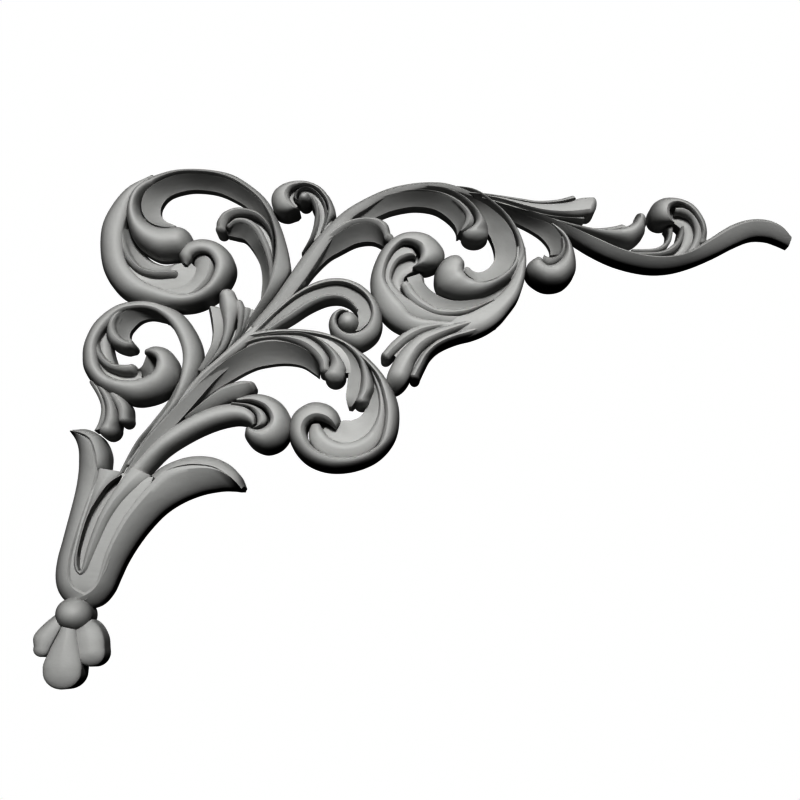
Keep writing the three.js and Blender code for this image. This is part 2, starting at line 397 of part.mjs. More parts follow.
const armVolute = [
  leaf(ROLL, [
    [231.5, 52.8, 235.3, 54.2, 15], [233, 58.8, 235.5, 58.8, 17], [231.8, 63.7, 234.2, 64.2, 18],
    [228.6, 68.9, 230.6, 70, 19], [224.4, 72, 226.2, 73.5, 20], [220.7, 73, 219.6, 75.5, 21],
    [218, 71.6, 213.3, 75.6, 22], [217.5, 69.7, 208.6, 72.9, 23], [217.8, 67.7, 206.6, 67.7, 23],
    [218.5, 65.7, 208, 62.9, 22], [219, 64.1, 212, 60.7, 20], [219.5, 63.4, 217, 61.1, 17],
  ], { crest: 0.5, left: [0.8, 0.8], right: [0.42, 1] }),
  leaf(RIDGE, [
    [225, 48, 232, 51, 14.5], [228.5, 53.6, 233.8, 56.6, 15], [229.7, 59.7, 233.6, 63.2, 15.5],
    [227.8, 65.6, 230.8, 69, 16], [223.7, 68.2, 225.5, 72.2, 16.5], [219.8, 68.6, 220, 71.8, 16.5],
  ]),
  leaf(TROUGH, [
    [212, 46, 224, 47, 9], [218, 48.8, 228, 52, 9], [222, 54.6, 231, 58, 9],
    [222.5, 60.6, 229, 66, 9], [218, 64, 222, 71, 9], [214, 64, 213, 71, 9],
  ]),
  leaf(RIDGE, [
    [195, 48.6, 195, 46.5, 15], [205, 48.4, 205, 45.8, 15], [212, 49, 213, 46.3, 15],
    [217, 51.2, 219, 48.6, 15], [220.5, 54.7, 223, 53, 15], [222, 58.7, 224.7, 58.6, 15],
    [222.5, 61.2, 224.2, 61.7, 14.5],
  ]),
  leaf(RIDGE, [
    [198, 50, 198, 48, 13.5], [208, 50.2, 208, 48, 13.5], [213, 52.1, 214, 49.8, 13.5],
    [215.5, 55.2, 217.3, 53.5, 13.5], [216.2, 58.7, 218.5, 57.8, 13.5], [215, 61, 219, 61.5, 13.5],
  ]),
];

const heartVolute = [
  leaf(FALLS_RIGHT, [
    [1, 2, 4, -2, 13], [12, 12.3, 17, 8, 13.5], [22, 22, 26, 13.2, 14], [31, 27.9, 34, 18.6, 14],
    [40, 31.5, 42, 22.4, 14], [49, 32.3, 48.5, 23.2, 14], [57.3, 29.9, 54, 21.3, 14],
    [63.4, 24.3, 57.5, 18.2, 14], [65.8, 18.2, 59, 14.6, 14], [64.4, 12.1, 58, 10, 14],
    [60.2, 7.8, 55.5, 7.5, 14],
  ], { right: [0.78, -0.2] }),
  leaf(ROLL, [
    [12, 8.5, 16, 7, 14], [25, 17.6, 26, 13.2, 16], [33, 23, 34, 18.6, 16.5],
    [42, 26.4, 42, 22.4, 17], [49, 26.6, 48.5, 23.2, 16.5], [55, 23.9, 54, 21.3, 15.5],
    [59, 18.7, 58, 17.2, 14],
  ], { left: [0.75, 0.6], right: [0.7, 0.9] }),
  leaf(ROLL, [
    [6, 8, 7.5, 6, 15], [20, 20.9, 21, 19.3, 17], [30, 28.6, 31, 26.8, 17.5], [40, 33.4, 41, 31, 18],
    [50, 34.5, 50, 31.9, 18], [59.2, 31.7, 57.5, 29.3, 18.5], [66.3, 25.5, 63, 24.5, 18.5],
    [70.3, 17.8, 65.4, 18.5, 19], [70.9, 10.2, 64.5, 12.6, 19], [67.7, 3.3, 61, 8.3, 19.5],
    [60, -1.5, 56.5, 6.6, 19.5], [51.8, 0.6, 52.5, 7, 19], [46.3, 4.9, 49.5, 9.3, 18.5],
    [44.1, 10.5, 48, 12.5, 18], [45.8, 16, 48.7, 15.7, 17], [50, 18.7, 51, 17.4, 16],
    [54, 17.9, 53.5, 16.9, 15],
  ], { crest: -0.5, left: [0.6, 0.9], right: [0.82, 0.8] }),
];

const topVolute = [
  leaf(ROLL, [
    [40.5, 58.2, 45.5, 64.8, 14], [43, 67, 47.3, 68, 16], [43, 72.7, 46, 73.2, 17],
    [40.8, 77.4, 43.3, 78, 18], [37.4, 81, 39.2, 82.2, 18.5], [32.8, 83, 33.3, 84.8, 19.5],
    [28.5, 82.8, 26.3, 85.2, 20.5], [25, 81.4, 19.8, 83.4, 21.5], [23.5, 79, 15.4, 79.5, 22.5],
    [23.8, 76.4, 14.5, 74.4, 23], [25.5, 73.8, 16.8, 69, 23], [27.5, 71.8, 22, 66.9, 22],
    [28.8, 70.8, 27.7, 68, 19],
  ], { crest: 0.5, left: [0.82, 0.8], right: [0.6, 0.9] }),
  leaf(RIDGE, [
    [39.5, 58.7, 41, 58.7, 14], [41.5, 66, 43, 66, 16], [41, 72, 42.5, 73, 17],
    [38.5, 77, 39.8, 78, 17.5], [34.5, 80.6, 35.3, 81.9, 18], [30.5, 81.2, 30.3, 82.5, 18],
    [27.7, 79, 26.6, 79.8, 18], [27.5, 76.2, 26.2, 75.8, 18], [29.5, 75, 29.3, 73.8, 17.5],
  ]),
  leaf(ROLL, [
    [30.3, 46.4, 31.8, 47, 14], [33.8, 53.7, 37, 54.5, 15.5], [36, 60.8, 39.5, 60.8, 16],
    [36.6, 67, 40, 67.5, 16], [35.4, 71, 39, 73, 15.5], [34, 74, 37, 77, 15],
  ]),
  leaf(FLAT, [
    [36, 54.5, 40.5, 57.5, 12], [38.5, 63, 42.5, 63, 13], [39, 69, 42.3, 70, 14],
    [36.5, 75, 40.5, 76.5, 14], [32.5, 78.5, 35, 82, 14], [28, 79, 26, 82, 14],
    [25.5, 76.5, 22.5, 77.5, 14], [28, 72.5, 25, 70, 14],
  ]),
];

const bigLeaf = [
  leaf(FLAT, [
    [0, 3, 3, -1, 13], [12, 6.8, 14, 1.5, 15], [25, 7.2, 24, 0.5, 15.5], [36, 5.8, 33, -1.5, 15.5],
    [46, 2.5, 40.5, -5, 15.5], [55, -4.5, 46, -9, 15], [59, -14, 51, -14, 14],
  ]),
  leaf(FALLS_RIGHT, [
    [-50, -50, -42, -54, 14], [-37, -35.5, -32, -41, 15.5], [-22, -20.5, -21, -29.5, 17],
    [-9, -8.5, -9.5, -20.8, 17.5], [3, -0.6, 5, -12.4, 17], [12, 2.4, 14, -9.8, 17],
    [22, 2.3, 23, -9, 17], [30, -0.3, 31, -10.3, 16.5], [36, -4.5, 37, -14, 16],
    [39.5, -11, 39.5, -16, 14],
  ]),
  leaf(ROLL, [
    [-6, -3.5, -5, -5.5, 13], [4, 2.8, 5, 0.6, 16], [14, 5, 14, 2.4, 17], [24, 5.6, 22, 2, 18.5],
    [33, 4.2, 30, -0.9, 19.5], [39.7, 0, 35.5, -5, 20], [44, -6, 38.9, -9.5, 20.5],
    [44.5, -11, 39.8, -13.6, 20.5],
  ], { end: DOME, left: [0.8, 0.8], right: [0.7, 0.8] }),
  leaf(ROLL, [
    [5, 4.3, 6, 3, 14], [18, 6.4, 18, 4.8, 17], [31, 6.4, 31, 4.8, 18], [41, 2.8, 38.5, 1.2, 20],
    [48.5, -3.6, 43.8, -4.5, 21.5], [52.6, -10.5, 45, -9.5, 22], [52.5, -14, 42, -14.5, 22.5],
  ], { end: DOME, left: [0.75, 0.8], right: [0.7, 0.8] }),
  leaf(FALLS_RIGHT, [
    [34, 6, 34, 4.8, 15], [47, 2.6, 45, 0.6, 16], [56, -4, 51, -4, 17], [60.3, -12.5, 54, -11.5, 17],
    [60.5, -20, 53.5, -20.5, 17], [58.8, -27, 53, -26, 17], [56, -31, 54.3, -31, 16],
  ], { right: [0.8, -0.4] }),
  leaf(ROLL, [
    [48, 2.8, 48, 1.8, 16], [59.5, -4.3, 57.5, -7, 18], [65, -13, 60, -14.5, 20],
    [67.4, -22, 59.3, -23, 21], [65, -28.5, 57, -29, 21],
  ], { end: BLUNT, crest: 0.1 }),
];

const leafCurl = [
  leaf(FLAT, [
    [46, -52, 36, -44, 10], [48, -44, 38, -38, 10], [47.5, -41.5, 43, -37.5, 10],
  ]),
  leaf(ROLL, [
    [-10, -5.5, -8.5, -7.5, 13], [0, 4, 1.5, 2, 15.5], [10, 6.9, 10, 5, 16], [25, 8, 25, 6.2, 17],
    [40, 6.6, 40, 4.6, 17], [52, 2.2, 51.2, 0.5, 17.5], [62, -4.8, 60, -6.5, 18],
    [71, -14.3, 68, -15.5, 18.5], [77.5, -25, 71.3, -26, 19], [79.7, -36, 72.3, -37, 19],
    [77.2, -48, 69.3, -49.5, 19.5], [69, -57.6, 61.5, -54.5, 20], [57, -62.7, 53.5, -56.3, 20.5],
    [44.5, -63.4, 44.5, -55.2, 21], [34, -59.6, 37.5, -51.6, 22], [27, -52.2, 34, -46.5, 23],
    [24.6, -43.5, 33, -42.5, 23], [27.2, -34.6, 34.5, -39.2, 23], [35, -29.3, 38, -37.4, 23],
    [43, -29.7, 42, -38, 22.5], [48.5, -33.7, 45, -39.7, 21.5], [50.6, -39, 47, -41.7, 19],
    [49, -42, 48, -42.6, 16],
  ], { crest: -0.5, left: [0.42, 1], right: [0.78, 0.8] }),
  leaf(RIDGE, [
    [66, -11, 65, -12, 15], [71.8, -24, 69, -25, 16], [72.8, -36, 68.5, -36, 16.5],
    [69.5, -49, 63.5, -44.5, 17], [60.5, -56, 56.5, -48.5, 17.5], [49.5, -57.5, 50, -48.8, 17.5],
    [41, -54.8, 44.5, -46.2, 17.5], [35.8, -49.7, 42, -43, 17], [34.5, -44.5, 41, -41.3, 17],
    [35.5, -40, 40, -39.6, 16.5],
  ], { crest: -0.35 }),
  leaf(FALLS_RIGHT, [
    [69, -18, 66, -24, 14], [70.3, -29, 61.5, -34.3, 14.5], [67, -42, 56.5, -37.6, 14.5],
    [59.5, -48.8, 51, -38, 14.5], [51, -49.8, 49.3, -40.5, 14.5], [44.5, -47.5, 46, -41, 14.5],
    [41.2, -43.5, 43.5, -40, 14],
  ], { right: [0.8, -0.4] }),
];

const spadeAndKnob = [
  leaf(FLAT, [
    [2, -27, 2, -33, 10], [10, -28, 7, -35, 10], [16, -33, 9, -38, 10], [15, -40, 9, -40, 10],
  ]),
  leaf(LEANS_RIGHT, [
    [-27, -36, -26, -38.5, 14], [-16, -26.3, -17, -34, 16], [-8, -20.6, -8, -29.5, 17],
    [0, -18.1, 1, -26.8, 18], [5, -18.3, 6, -23.8, 18],
  ], { end: BLUNT }),
  leaf(ROLL, [
    [-55, -61.5, -44, -64.5, 15], [-41, -47.3, -35, -55, 17], [-29, -38.5, -23, -47.3, 17],
    [-16, -32, -12, -42.3, 17], [-5, -29.5, -3, -40, 17], [3, -30.5, 2, -40, 17],
    [8.5, -35, 5, -41, 16.5], [9, -40, 6.5, -42, 15],
  ]),
  leaf(RIDGE, [
    [-4, -28.6, -4, -30, 16], [5, -29.6, 4, -31.5, 17.5], [11.2, -32.6, 7.6, -34.4, 18],
    [13.8, -37, 8.6, -37.5, 18.5], [12.2, -40.4, 8.4, -40.2, 18], [7, -42.2, 6.5, -41.7, 15],
  ]),
  leaf(ROLL, [
    [-1, -27.2, -1, -28.5, 15], [7, -24.9, 6, -28.8, 18], [14.7, -25.9, 12, -31.5, 20],
    [21.3, -29.9, 14.6, -35.3, 22], [25.5, -37, 14.9, -38.3, 23], [25.5, -45, 13, -40.8, 23.5],
    [21.2, -51.6, 10.5, -42, 23.5], [14, -54.3, 9, -42.3, 23], [7.3, -51.9, 7.5, -42.2, 22],
    [3.2, -47, 6.3, -41.9, 21], [3.3, -42.8, 5.5, -41.5, 18],
  ], { crest: -0.5, left: [0.42, 1], right: [0.8, 0.8] }),
];

const calyx = [
  leaf(FLAT, [
    [-80.5, -125, -74, -127, 15.5], [-82.5, -120, -70, -121, 17.6], [-83.5, -112, -65, -113.5, 18.3],
    [-82.5, -100, -61, -101.5, 18.7], [-79, -88, -55, -90, 18.9], [-76, -76, -49, -78, 18.9],
    [-72, -66.5, -44, -70, 18.5], [-68, -62.8, -42.3, -66.3, 17.5],
  ], { start: CUT, left: [0.97, 0.3], right: [1.04, 0.9] }),
  leaf(ROLL, [
    [-81, -130, -74, -123.5, 17.5], [-85.5, -125.5, -79, -121, 18.5], [-88, -121, -81.5, -117.5, 19],
    [-89, -115, -82.3, -111.5, 19.3], [-88.3, -107, -81.5, -104.5, 19.3],
    [-86.3, -98.5, -79.5, -96.5, 19.3], [-84.2, -89.5, -77, -88, 19], [-82, -80, -74, -79, 19],
    [-80.4, -72, -71.3, -71, 19], [-79.5, -65, -70, -64.5, 19.5], [-79.3, -59, -71, -59, 20],
    [-79.7, -52.5, -72.3, -53, 20.5], [-81.3, -47.7, -75, -47, 20], [-84, -43.7, -83.4, -43.2, 17],
  ], { start: CUT, crest: -0.75, left: [0.5, 0.8], right: [0.95, 0.3] }),
  leaf(ROLL, [
    [-71.5, -66, -65, -65, 15], [-71, -61, -64.3, -61, 19.5], [-72.1, -53.5, -64.5, -54, 20.5],
    [-74.8, -47.2, -68.3, -46.5, 20.5], [-79, -44.6, -75, -42.7, 19.5],
    [-83.3, -43.5, -82, -43, 17.5],
  ], { start: CUT, crest: 0.75, left: [0.97, 0.3], right: [0.5, 0.9] }),
  leaf(ROLL, [
    [-69.6, -61.8, -57.5, -63.8, 19.5], [-70.8, -68, -62.8, -69.3, 20], [-73.3, -77, -69, -77, 20],
    [-76.3, -87, -73, -86, 19.8], [-78.8, -97, -76.3, -97, 19.6], [-80.4, -106, -78.3, -106, 19.5],
    [-80, -111.5, -78, -111, 19.4], [-77, -115, -77, -112.4, 19.4],
    [-73.7, -112.5, -76.3, -110.8, 19.7], [-71, -106, -75, -104.5, 20.2],
    [-68, -98, -72.3, -95, 20.8], [-63.5, -87.5, -68.5, -85, 21.2], [-57.5, -78.5, -63, -75, 21.2],
    [-50, -71, -57, -66, 20.8], [-43.3, -65.5, -53.5, -61.3, 19.5],
  ], { start: CUT, left: [0.88, 0.5], right: [0.9, 0.7] }),
  leaf(ROLL, [
    [-80, -125, -74, -131.5, 16.5], [-73.5, -122.3, -66.5, -128.7, 18],
    [-69.3, -118, -61.5, -123, 19], [-67, -111, -58.3, -115.7, 19.5], [-65, -104, -55.2, -108.5, 20],
    [-61.5, -95.5, -50.5, -100.3, 20.3], [-56.5, -86, -44.5, -92, 20.5], [-50, -77, -37, -84, 20.5],
    [-43, -68.5, -28.5, -78.3, 20.5], [-37, -62.8, -19, -74.4, 20.7], [-27, -59.8, -9.5, -72.5, 21],
    [-15, -60, -3, -72.4, 21], [-5, -65, 0.5, -72.8, 20.5], [1.3, -71, 3, -72.8, 18],
  ], { start: CUT, crest: 0.6, left: [0.945, 0.5], right: [0.5, 0.55] }),
  leaf(FALLS_LEFT, [
    [-44, -66, -42, -67, 17], [-38.5, -61.5, -36, -63, 20], [-32, -58.3, -30, -60.8, 21],
    [-25, -56.2, -24, -59.8, 21.5], [-18, -55.8, -18.5, -60, 21.5], [-11, -57, -13, -61, 21.5],
    [-4, -60.6, -7, -64.2, 21], [0.8, -65.6, -2, -68.2, 20.5], [3.2, -71, 1.5, -72.2, 18],
  ], { left: [0.66, 0.6], right: [1, 0] }),
];

const shell = [
  leaf(ROLL, [
    [-74, -134, -79, -131, 14], [-68, -138, -79, -139.5, 17], [-64.6, -144, -78.5, -146, 18.5],
    [-63.8, -150.5, -77.6, -153.5, 19],
  ], { end: DOME, left: [0.8, 0.8], right: [0.85, 0.8] }),
  leaf(ROLL, [
    [-80, -131, -88, -133.5, 14], [-85, -139, -94.5, -139, 17], [-88.8, -146, -98.8, -144.3, 18.5],
    [-91.5, -152, -98.6, -149.5, 18.5],
  ], { end: BLUNT, left: [0.88, 0.8], right: [0.8, 0.8] }),
  leaf(ROLL, [
    [-78, -134, -84, -134, 16], [-77.7, -142, -86.3, -141.5, 19], [-76.5, -150, -90, -149, 20.5],
    [-75, -158, -93.6, -157.5, 21.5], [-75, -161.5, -93.8, -161.5, 21.5],
  ], { end: BLUNT, left: [0.82, 0.8], right: [0.82, 0.8] }),
];

const groups = [
  upperScroll, innerLeaf, lowerScroll, lobes, stems, fanLeaf, mainLeaf, rightScroll, rightVolute,
  tailLeaf, rightArm, forkVolute, armTail, armVolute, heartVolute, topVolute, bigLeaf, leafCurl,
  spadeAndKnob, calyx, shell,
];

// Each ball is [x, z, half width, half height, relief]
const balls = [
  [-79.6, -133.6, 9, 8, 24],
  [53.8, 12.5, 5.3, 5.3, 21],
  [31.4, 75.9, 3.3, 3.3, 22.5],
];
const BALL_RINGS = 3;
const BALL_SIDES = 14;
const BALL_SEAT = 0.55;

// A slot between two strands of the calyx, cut down to its floor
const SLOT_FLOOR = 11;
const slotRungs = [
  [-57.5, -65.5, -57.2, -66.5], [-63, -69.5, -59.7, -71.5], [-67.3, -75, -63.7, -78],
  [-72.4, -84, -68.9, -86.5], [-75.7, -94, -72.4, -96.5], [-77.8, -104, -74.8, -106],
  [-78, -109.5, -75.6, -110.5], [-77.3, -112.4, -76.2, -112.6],
];

const smooth = (values) => new THREE.CatmullRomCurve3(values, false, 'catmullrom', 0.5);

// Real place of a drawn point at a height
function carried(x, z, height) {
  const share = (EYE.height - height) / (EYE.height - DRAWING_PLANE);
  return new THREE.Vector3(EYE.x + (x - EYE.x) * share, EYE.z + (z - EYE.z) * share, height);
}

// Swell of a section between its edge, where share is 0, and its crest, where share is 1
function swell(share, fullness) {
  const full = Math.sqrt(1 - (1 - share) ** 2);
  const hollow = 1 - Math.cos((share * Math.PI) / 2);
  return share + (fullness >= 0 ? fullness * (full - share) : -fullness * (hollow - share));
}

// Height of a leaf as a share of its crest's, at a place across it. In a round end the rung closes,
// and its points lie as near to the leaf's edge as they do to the end's.
function sectionHeight(section, across, closing) {
  const isLeft = across >= section.crest;
  const [side, fullness] = isLeft ? section.left : section.right;
  const span = isLeft ? 1 - section.crest : section.crest + 1;
  const away = Math.abs(across - section.crest) / span;
  const inward = 1 - Math.sqrt(closing ** 2 + (1 - closing ** 2) * away ** 2);
  const edge = side + ((section.left[0] + section.right[0]) / 2 - side) * closing;
  return edge + (1 - edge) * swell(inward, fullness);
}

// Places across a leaf, with its crest and both edges among them
function placesAcross(section, width) {
  const facets = Math.min(3, Math.max(2, Math.round(width / FINEST_FACET)));
  const toRight = Math.min(facets - 1, Math.max(1, Math.round((facets * (section.crest + 1)) / 2)));
  const places = [];
  for (let i = 0; i <= facets; i++) {
    const onRight = i <= toRight;
    const share = onRight ? i / toRight : (i - toRight) / (facets - toRight);
    places.push(onRight ? -1 + share * (section.crest + 1) : section.crest + share * (1 - section.crest));
  }
  return places;
}

// Whether a rung stands further than the allowance from a facet between two others
function isOff(rung, from, to) {
  const distance = (side) => {
    const chord = new THREE.Line3(from[side], to[side]);
    return chord.closestPointToPoint(rung[side], true, new THREE.Vector3()).distanceTo(rung[side]);
  };
  return Math.max(distance('left'), distance('right')) * SQUARE > FACET_ALLOWANCE;
}

// The rungs that a leaf needs: those between them lie on its facets, within the allowance
function neededRungs(rungs) {
  const needed = [rungs[0]];
  let from = 0;
  for (let i = 2; i < rungs.length; i++) {
    if (rungs.slice(from + 1, i).some((rung) => isOff(rung, rungs[from], rungs[i]))) {
      from = i - 1;
      needed.push(rungs[from]);
    }
  }
  return needed.concat(rungs.slice(-1));
}

// Rungs along a leaf between its drawn ones, each with a left point, a right point and a height
function finerRungs({ rungs, left: [leftEdge], right: [rightEdge] }) {
  const left = smooth(rungs.map(([x, z, , , h]) => carried(x, z, h * leftEdge).setZ(h)));
  const right = smooth(rungs.map(([, , x, z, h]) => carried(x, z, h * rightEdge).setZ(h)));
  const finer = [];
  for (let i = 0; i < rungs.length - 1; i++) {
    const [a, b] = [rungs[i], rungs[i + 1]];
    const reach = Math.max(Math.hypot(b[0] - a[0], b[1] - a[1]), Math.hypot(b[2] - a[2], b[3] - a[3]));
    const parts = Math.ceil((reach * SQUARE) / LONGEST_FACET);
    for (let j = 0; j < parts; j++) {
      finer.push((i + j / parts) / (rungs.length - 1));
    }
  }
  finer.push(1);
  return finer.map((share) => ({ left: left.getPoint(share), right: right.getPoint(share), closing: 0 }));
}

// Rungs that close a leaf's end in a round
function endRungs(last, before, end, angles) {
  const middle = last.left.clone().add(last.right).multiplyScalar(0.5);
  const half = last.left.clone().sub(last.right).multiplyScalar(0.5);
  const width = Math.hypot(half.x, half.y);
  const ahead = new THREE.Vector3(half.y, -half.x, 0).normalize();
  const travel = middle.clone().sub(before.left.clone().add(before.right).multiplyScalar(0.5));
  if (ahead.dot(travel) < 0) {
    ahead.negate();
  }
  return angles.map((degrees) => {
    const turn = THREE.MathUtils.degToRad(degrees);
    const centre = middle.clone().addScaledVector(ahead, width * end.reach * Math.sin(turn));
    centre.z = middle.z * (1 - end.fall * (1 - Math.cos(turn)));
    const side = half.clone().multiplyScalar(Math.cos(turn));
    side.z = 0;
    return { left: centre.clone().add(side), right: centre.clone().sub(side), closing: Math.sin(turn) };
  });
}

// Six times the volume that the triangles enclose, below zero where they face inwards
function enclosed(points, triangles) {
  const corner = (i) => new THREE.Vector3(...points[i]);
  return triangles.reduce((sum, [a, b, c]) => sum + corner(a).dot(corner(b).cross(corner(c))), 0);
}

// A closed solid from its vertices and triangles, with its faces pointing out
function solidOf(wasm, points, triangles) {
  const facing = enclosed(points, triangles) < 0 ? triangles.map(([a, b, c]) => [a, c, b]) : triangles;
  const mesh = new wasm.Mesh({
    numProp: 3,
    vertProperties: new Float32Array(points.flat()),
    triVerts: new Uint32Array(facing.flat()),
  });
  return new wasm.Manifold(mesh);
}

// Solid of a leaf: its section at each rung, down to the sawn back
function leafSolid(wasm, section) {
  let rungs = neededRungs(finerRungs(section));
  if (section.end) {
    const [before, last] = rungs.slice(-2);
    rungs = rungs.concat(endRungs(last, before, section.end, END_ANGLES));
  }
  if (section.start) {
    const [first, next] = rungs;
    rungs = endRungs(first, next, section.start, START_ANGLES).reverse().concat(rungs);
  }
  const widths = rungs.map(({ left, right }) => Math.hypot(left.x - right.x, left.y - right.y));
  const places = placesAcross(section, Math.max(...widths) * SQUARE);
  const points = [];
  for (const { left, right, closing } of rungs) {
    const middle = left.clone().add(right).multiplyScalar(0.5);
    const half = left.clone().sub(right).multiplyScalar(0.5);
    const width = Math.max(Math.hypot(half.x, half.y), 1e-6);
    half.multiplyScalar(Math.max(1, THINNEST_EDGE / 2 / width));
    const at = (across, height) => [
      (middle.x + half.x * across) * SQUARE, -height * STEP, (middle.y + half.y * across) * SQUARE,
    ];
    points.push(at(-1, -SAWN_ALLOWANCE));
    for (const across of places) {
      points.push(at(across, middle.z * sectionHeight(section, across, closing)));
    }
    points.push(at(1, -SAWN_ALLOWANCE));
  }
  return solidOf(wasm, points, loftTriangles(rungs.length, places.length + 2));
}

// Triangles of a loft through rings of points, with both ends closed
function loftTriangles(rings, ring) {
  const triangles = [];
  for (let i = 0; i < rings - 1; i++) {
    for (let j = 0; j < ring; j++) {
      const [a, b] = [i * ring + j, i * ring + ((j + 1) % ring)];
      triangles.push([a, b, b + ring], [a, b + ring, a + ring]);
    }
  }
  const last = (rings - 1) * ring;
  const middle = Math.floor(ring / 2);
  for (let j = 1; j < ring - 1; j++) {
    const apex = j < middle ? 0 : ring - 1;
    const [a, b] = [j, j + 1];
    if (a !== apex && b !== apex) {
      triangles.push([apex, b, a], [last + apex, last + a, last + b]);
    }
  }
  triangles.push([0, ring - 1, middle], [last, last + middle, last + ring - 1]);
  return triangles;
}

// Solid of a ball: a dome on a straight seat, down to the sawn back
function ballSolid(wasm, [x, z, halfWidth, halfHeight, relief]) {
  const points = [];
  for (let ring = -1; ring < BALL_RINGS; ring++) {
    const turn = (Math.max(ring, 0) / BALL_RINGS) * (Math.PI / 2);
    const height = ring < 0 ? -SAWN_ALLOWANCE : relief * (BALL_SEAT + (1 - BALL_SEAT) * Math.sin(turn));
    for (let side = 0; side < BALL_SIDES; side++) {
      const around = (side / BALL_SIDES) * Math.PI * 2;
      points.push([
        (x + halfWidth * Math.cos(turn) * Math.cos(around)) * SQUARE,
        -height * STEP,
        (z + halfHeight * Math.cos(turn) * Math.sin(around)) * SQUARE,
      ]);
    }
  }
  points.push([x * SQUARE, -relief * STEP, z * SQUARE], [x * SQUARE, SAWN_ALLOWANCE * STEP, z * SQUARE]);
  const top = points.length - 2;
  const triangles = [];
  for (let side = 0; side < BALL_SIDES; side++) {
    const next = (side + 1) % BALL_SIDES;
    for (let ring = 0; ring < BALL_RINGS; ring++) {
      const [a, b] = [ring * BALL_SIDES + side, ring * BALL_SIDES + next];
      triangles.push([a, b, b + BALL_SIDES], [a, b + BALL_SIDES, a + BALL_SIDES]);
    }
    triangles.push([BALL_RINGS * BALL_SIDES + side, BALL_RINGS * BALL_SIDES + next, top]);
    triangles.push([side, top + 1, next]);
  }
  return solidOf(wasm, points, triangles);
}

// Solid that cuts the slot: the slot's outline from its floor up past the highest relief
function slotSolid(wasm) {
  const points = [];
  const rail = smooth(slotRungs.map(([x, z]) => new THREE.Vector3(x, z, 0)));
  const other = smooth(slotRungs.map(([, , x, z]) => new THREE.Vector3(x, z, 0)));
  const rings = slotRungs.length * 2 - 1;
  for (let i = 0; i < rings; i++) {
    const [left, right] = [rail.getPoint(i / (rings - 1)), other.getPoint(i / (rings - 1))];
    const [floor, above] = [-SLOT_FLOOR * STEP, -RELIEF_HEIGHT * 1.5];
    points.push([right.x * SQUARE, floor, right.y * SQUARE], [right.x * SQUARE, above, right.y * SQUARE]);
    points.push([left.x * SQUARE, above, left.y * SQUARE], [left.x * SQUARE, floor, left.y * SQUARE]);
  }
  return solidOf(wasm, points, loftTriangles(rings, 4));
}

// The finished solid as a geometry
function geometryOf(solid) {
  const mesh = solid.getMesh();
  const positions = new Float32Array(mesh.numVert * 3);
  for (let i = 0; i < mesh.numVert; i++) {
    positions.set(mesh.vertProperties.slice(i * mesh.numProp, i * mesh.numProp + 3), i * 3);
  }
  const geometry = new THREE.BufferGeometry();
  geometry.setAttribute('position', new THREE.BufferAttribute(positions, 3));
  geometry.setIndex(new THREE.BufferAttribute(new Uint32Array(mesh.triVerts), 1));
  geometry.computeVertexNormals();
  return geometry;
}

// Everything behind the back plane, which is planed off flat
function planedOff(wasm) {
  const block = new THREE.BoxGeometry(2 * APPLIQUE_LENGTH, 2 * RELIEF_HEIGHT, 2 * APPLIQUE_LENGTH);
  block.translate(0, RELIEF_HEIGHT, 0);
  block.deleteAttribute('normal');
  block.deleteAttribute('uv');
  const merged = mergeVertices(block);
  const points = [];
  for (let i = 0; i < merged.attributes.position.count; i++) {
    points.push(new THREE.Vector3().fromBufferAttribute(merged.attributes.position, i).toArray());
  }
  const corners = Array.from(merged.index.array);
  const triangles = corners.flatMap((corner, i) => (i % 3 === 0 ? [corners.slice(i, i + 3)] : []));
  return solidOf(wasm, points, triangles);
}

const wasm = await Module();
wasm.setup();

let carving = ballSolid(wasm, balls[0]);
for (const ball of balls.slice(1)) {
  carving = carving.add(ballSolid(wasm, ball));
}
for (const section of groups.flat()) {
  carving = carving.add(leafSolid(wasm, section));
}
carving = carving.subtract(slotSolid(wasm)).subtract(planedOff(wasm));

const wood = new THREE.MeshStandardMaterial({ color: 0x9a9a98, roughness: 0.55, metalness: 0 });
const applique = new THREE.Mesh(geometryOf(carving), wood);
applique.name = 'corner_applique';

const part = new THREE.Group();
part.add(applique);

export default part;
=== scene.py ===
"""Looks of the carved wood corner applique: a smooth carving over its faceted solid, in metres."""

import logging
import math
from dataclasses import dataclass, field, replace
from enum import Enum
from typing import Optional, Sequence, Union

import bpy
import numpy as np
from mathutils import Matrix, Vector


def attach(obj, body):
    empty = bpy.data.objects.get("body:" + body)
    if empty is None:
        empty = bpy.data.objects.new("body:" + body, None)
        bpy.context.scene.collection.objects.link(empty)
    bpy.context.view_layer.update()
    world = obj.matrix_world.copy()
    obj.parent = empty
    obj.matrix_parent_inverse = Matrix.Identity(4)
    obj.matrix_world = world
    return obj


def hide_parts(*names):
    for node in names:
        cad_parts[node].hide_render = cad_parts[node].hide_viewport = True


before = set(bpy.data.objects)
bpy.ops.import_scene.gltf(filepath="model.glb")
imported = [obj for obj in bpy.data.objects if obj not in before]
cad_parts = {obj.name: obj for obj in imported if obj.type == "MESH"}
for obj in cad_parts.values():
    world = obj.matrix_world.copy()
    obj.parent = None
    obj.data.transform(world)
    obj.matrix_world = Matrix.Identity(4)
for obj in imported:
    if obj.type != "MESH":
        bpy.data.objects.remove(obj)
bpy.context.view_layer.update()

log = logging.getLogger("applique")

NODE = "corner_applique"
BODY = "root"

# The carving is drawn on a grid of squares and relief steps, each of a millimetre
SQUARE = 0.001
STEP = 0.001
DRAWN_LENGTH = 380.0
DRAWN_HEIGHT = 24.0

# The drawing lies on a plane in mid relief and is seen from below, from this place above the back
EYE_X, EYE_Z, EYE_HEIGHT = 80.0, -155.0, 804.0
DRAWING_PLANE = 14.0

# Lengths in squares below this one count as nothing
NOTHING = 1e-6

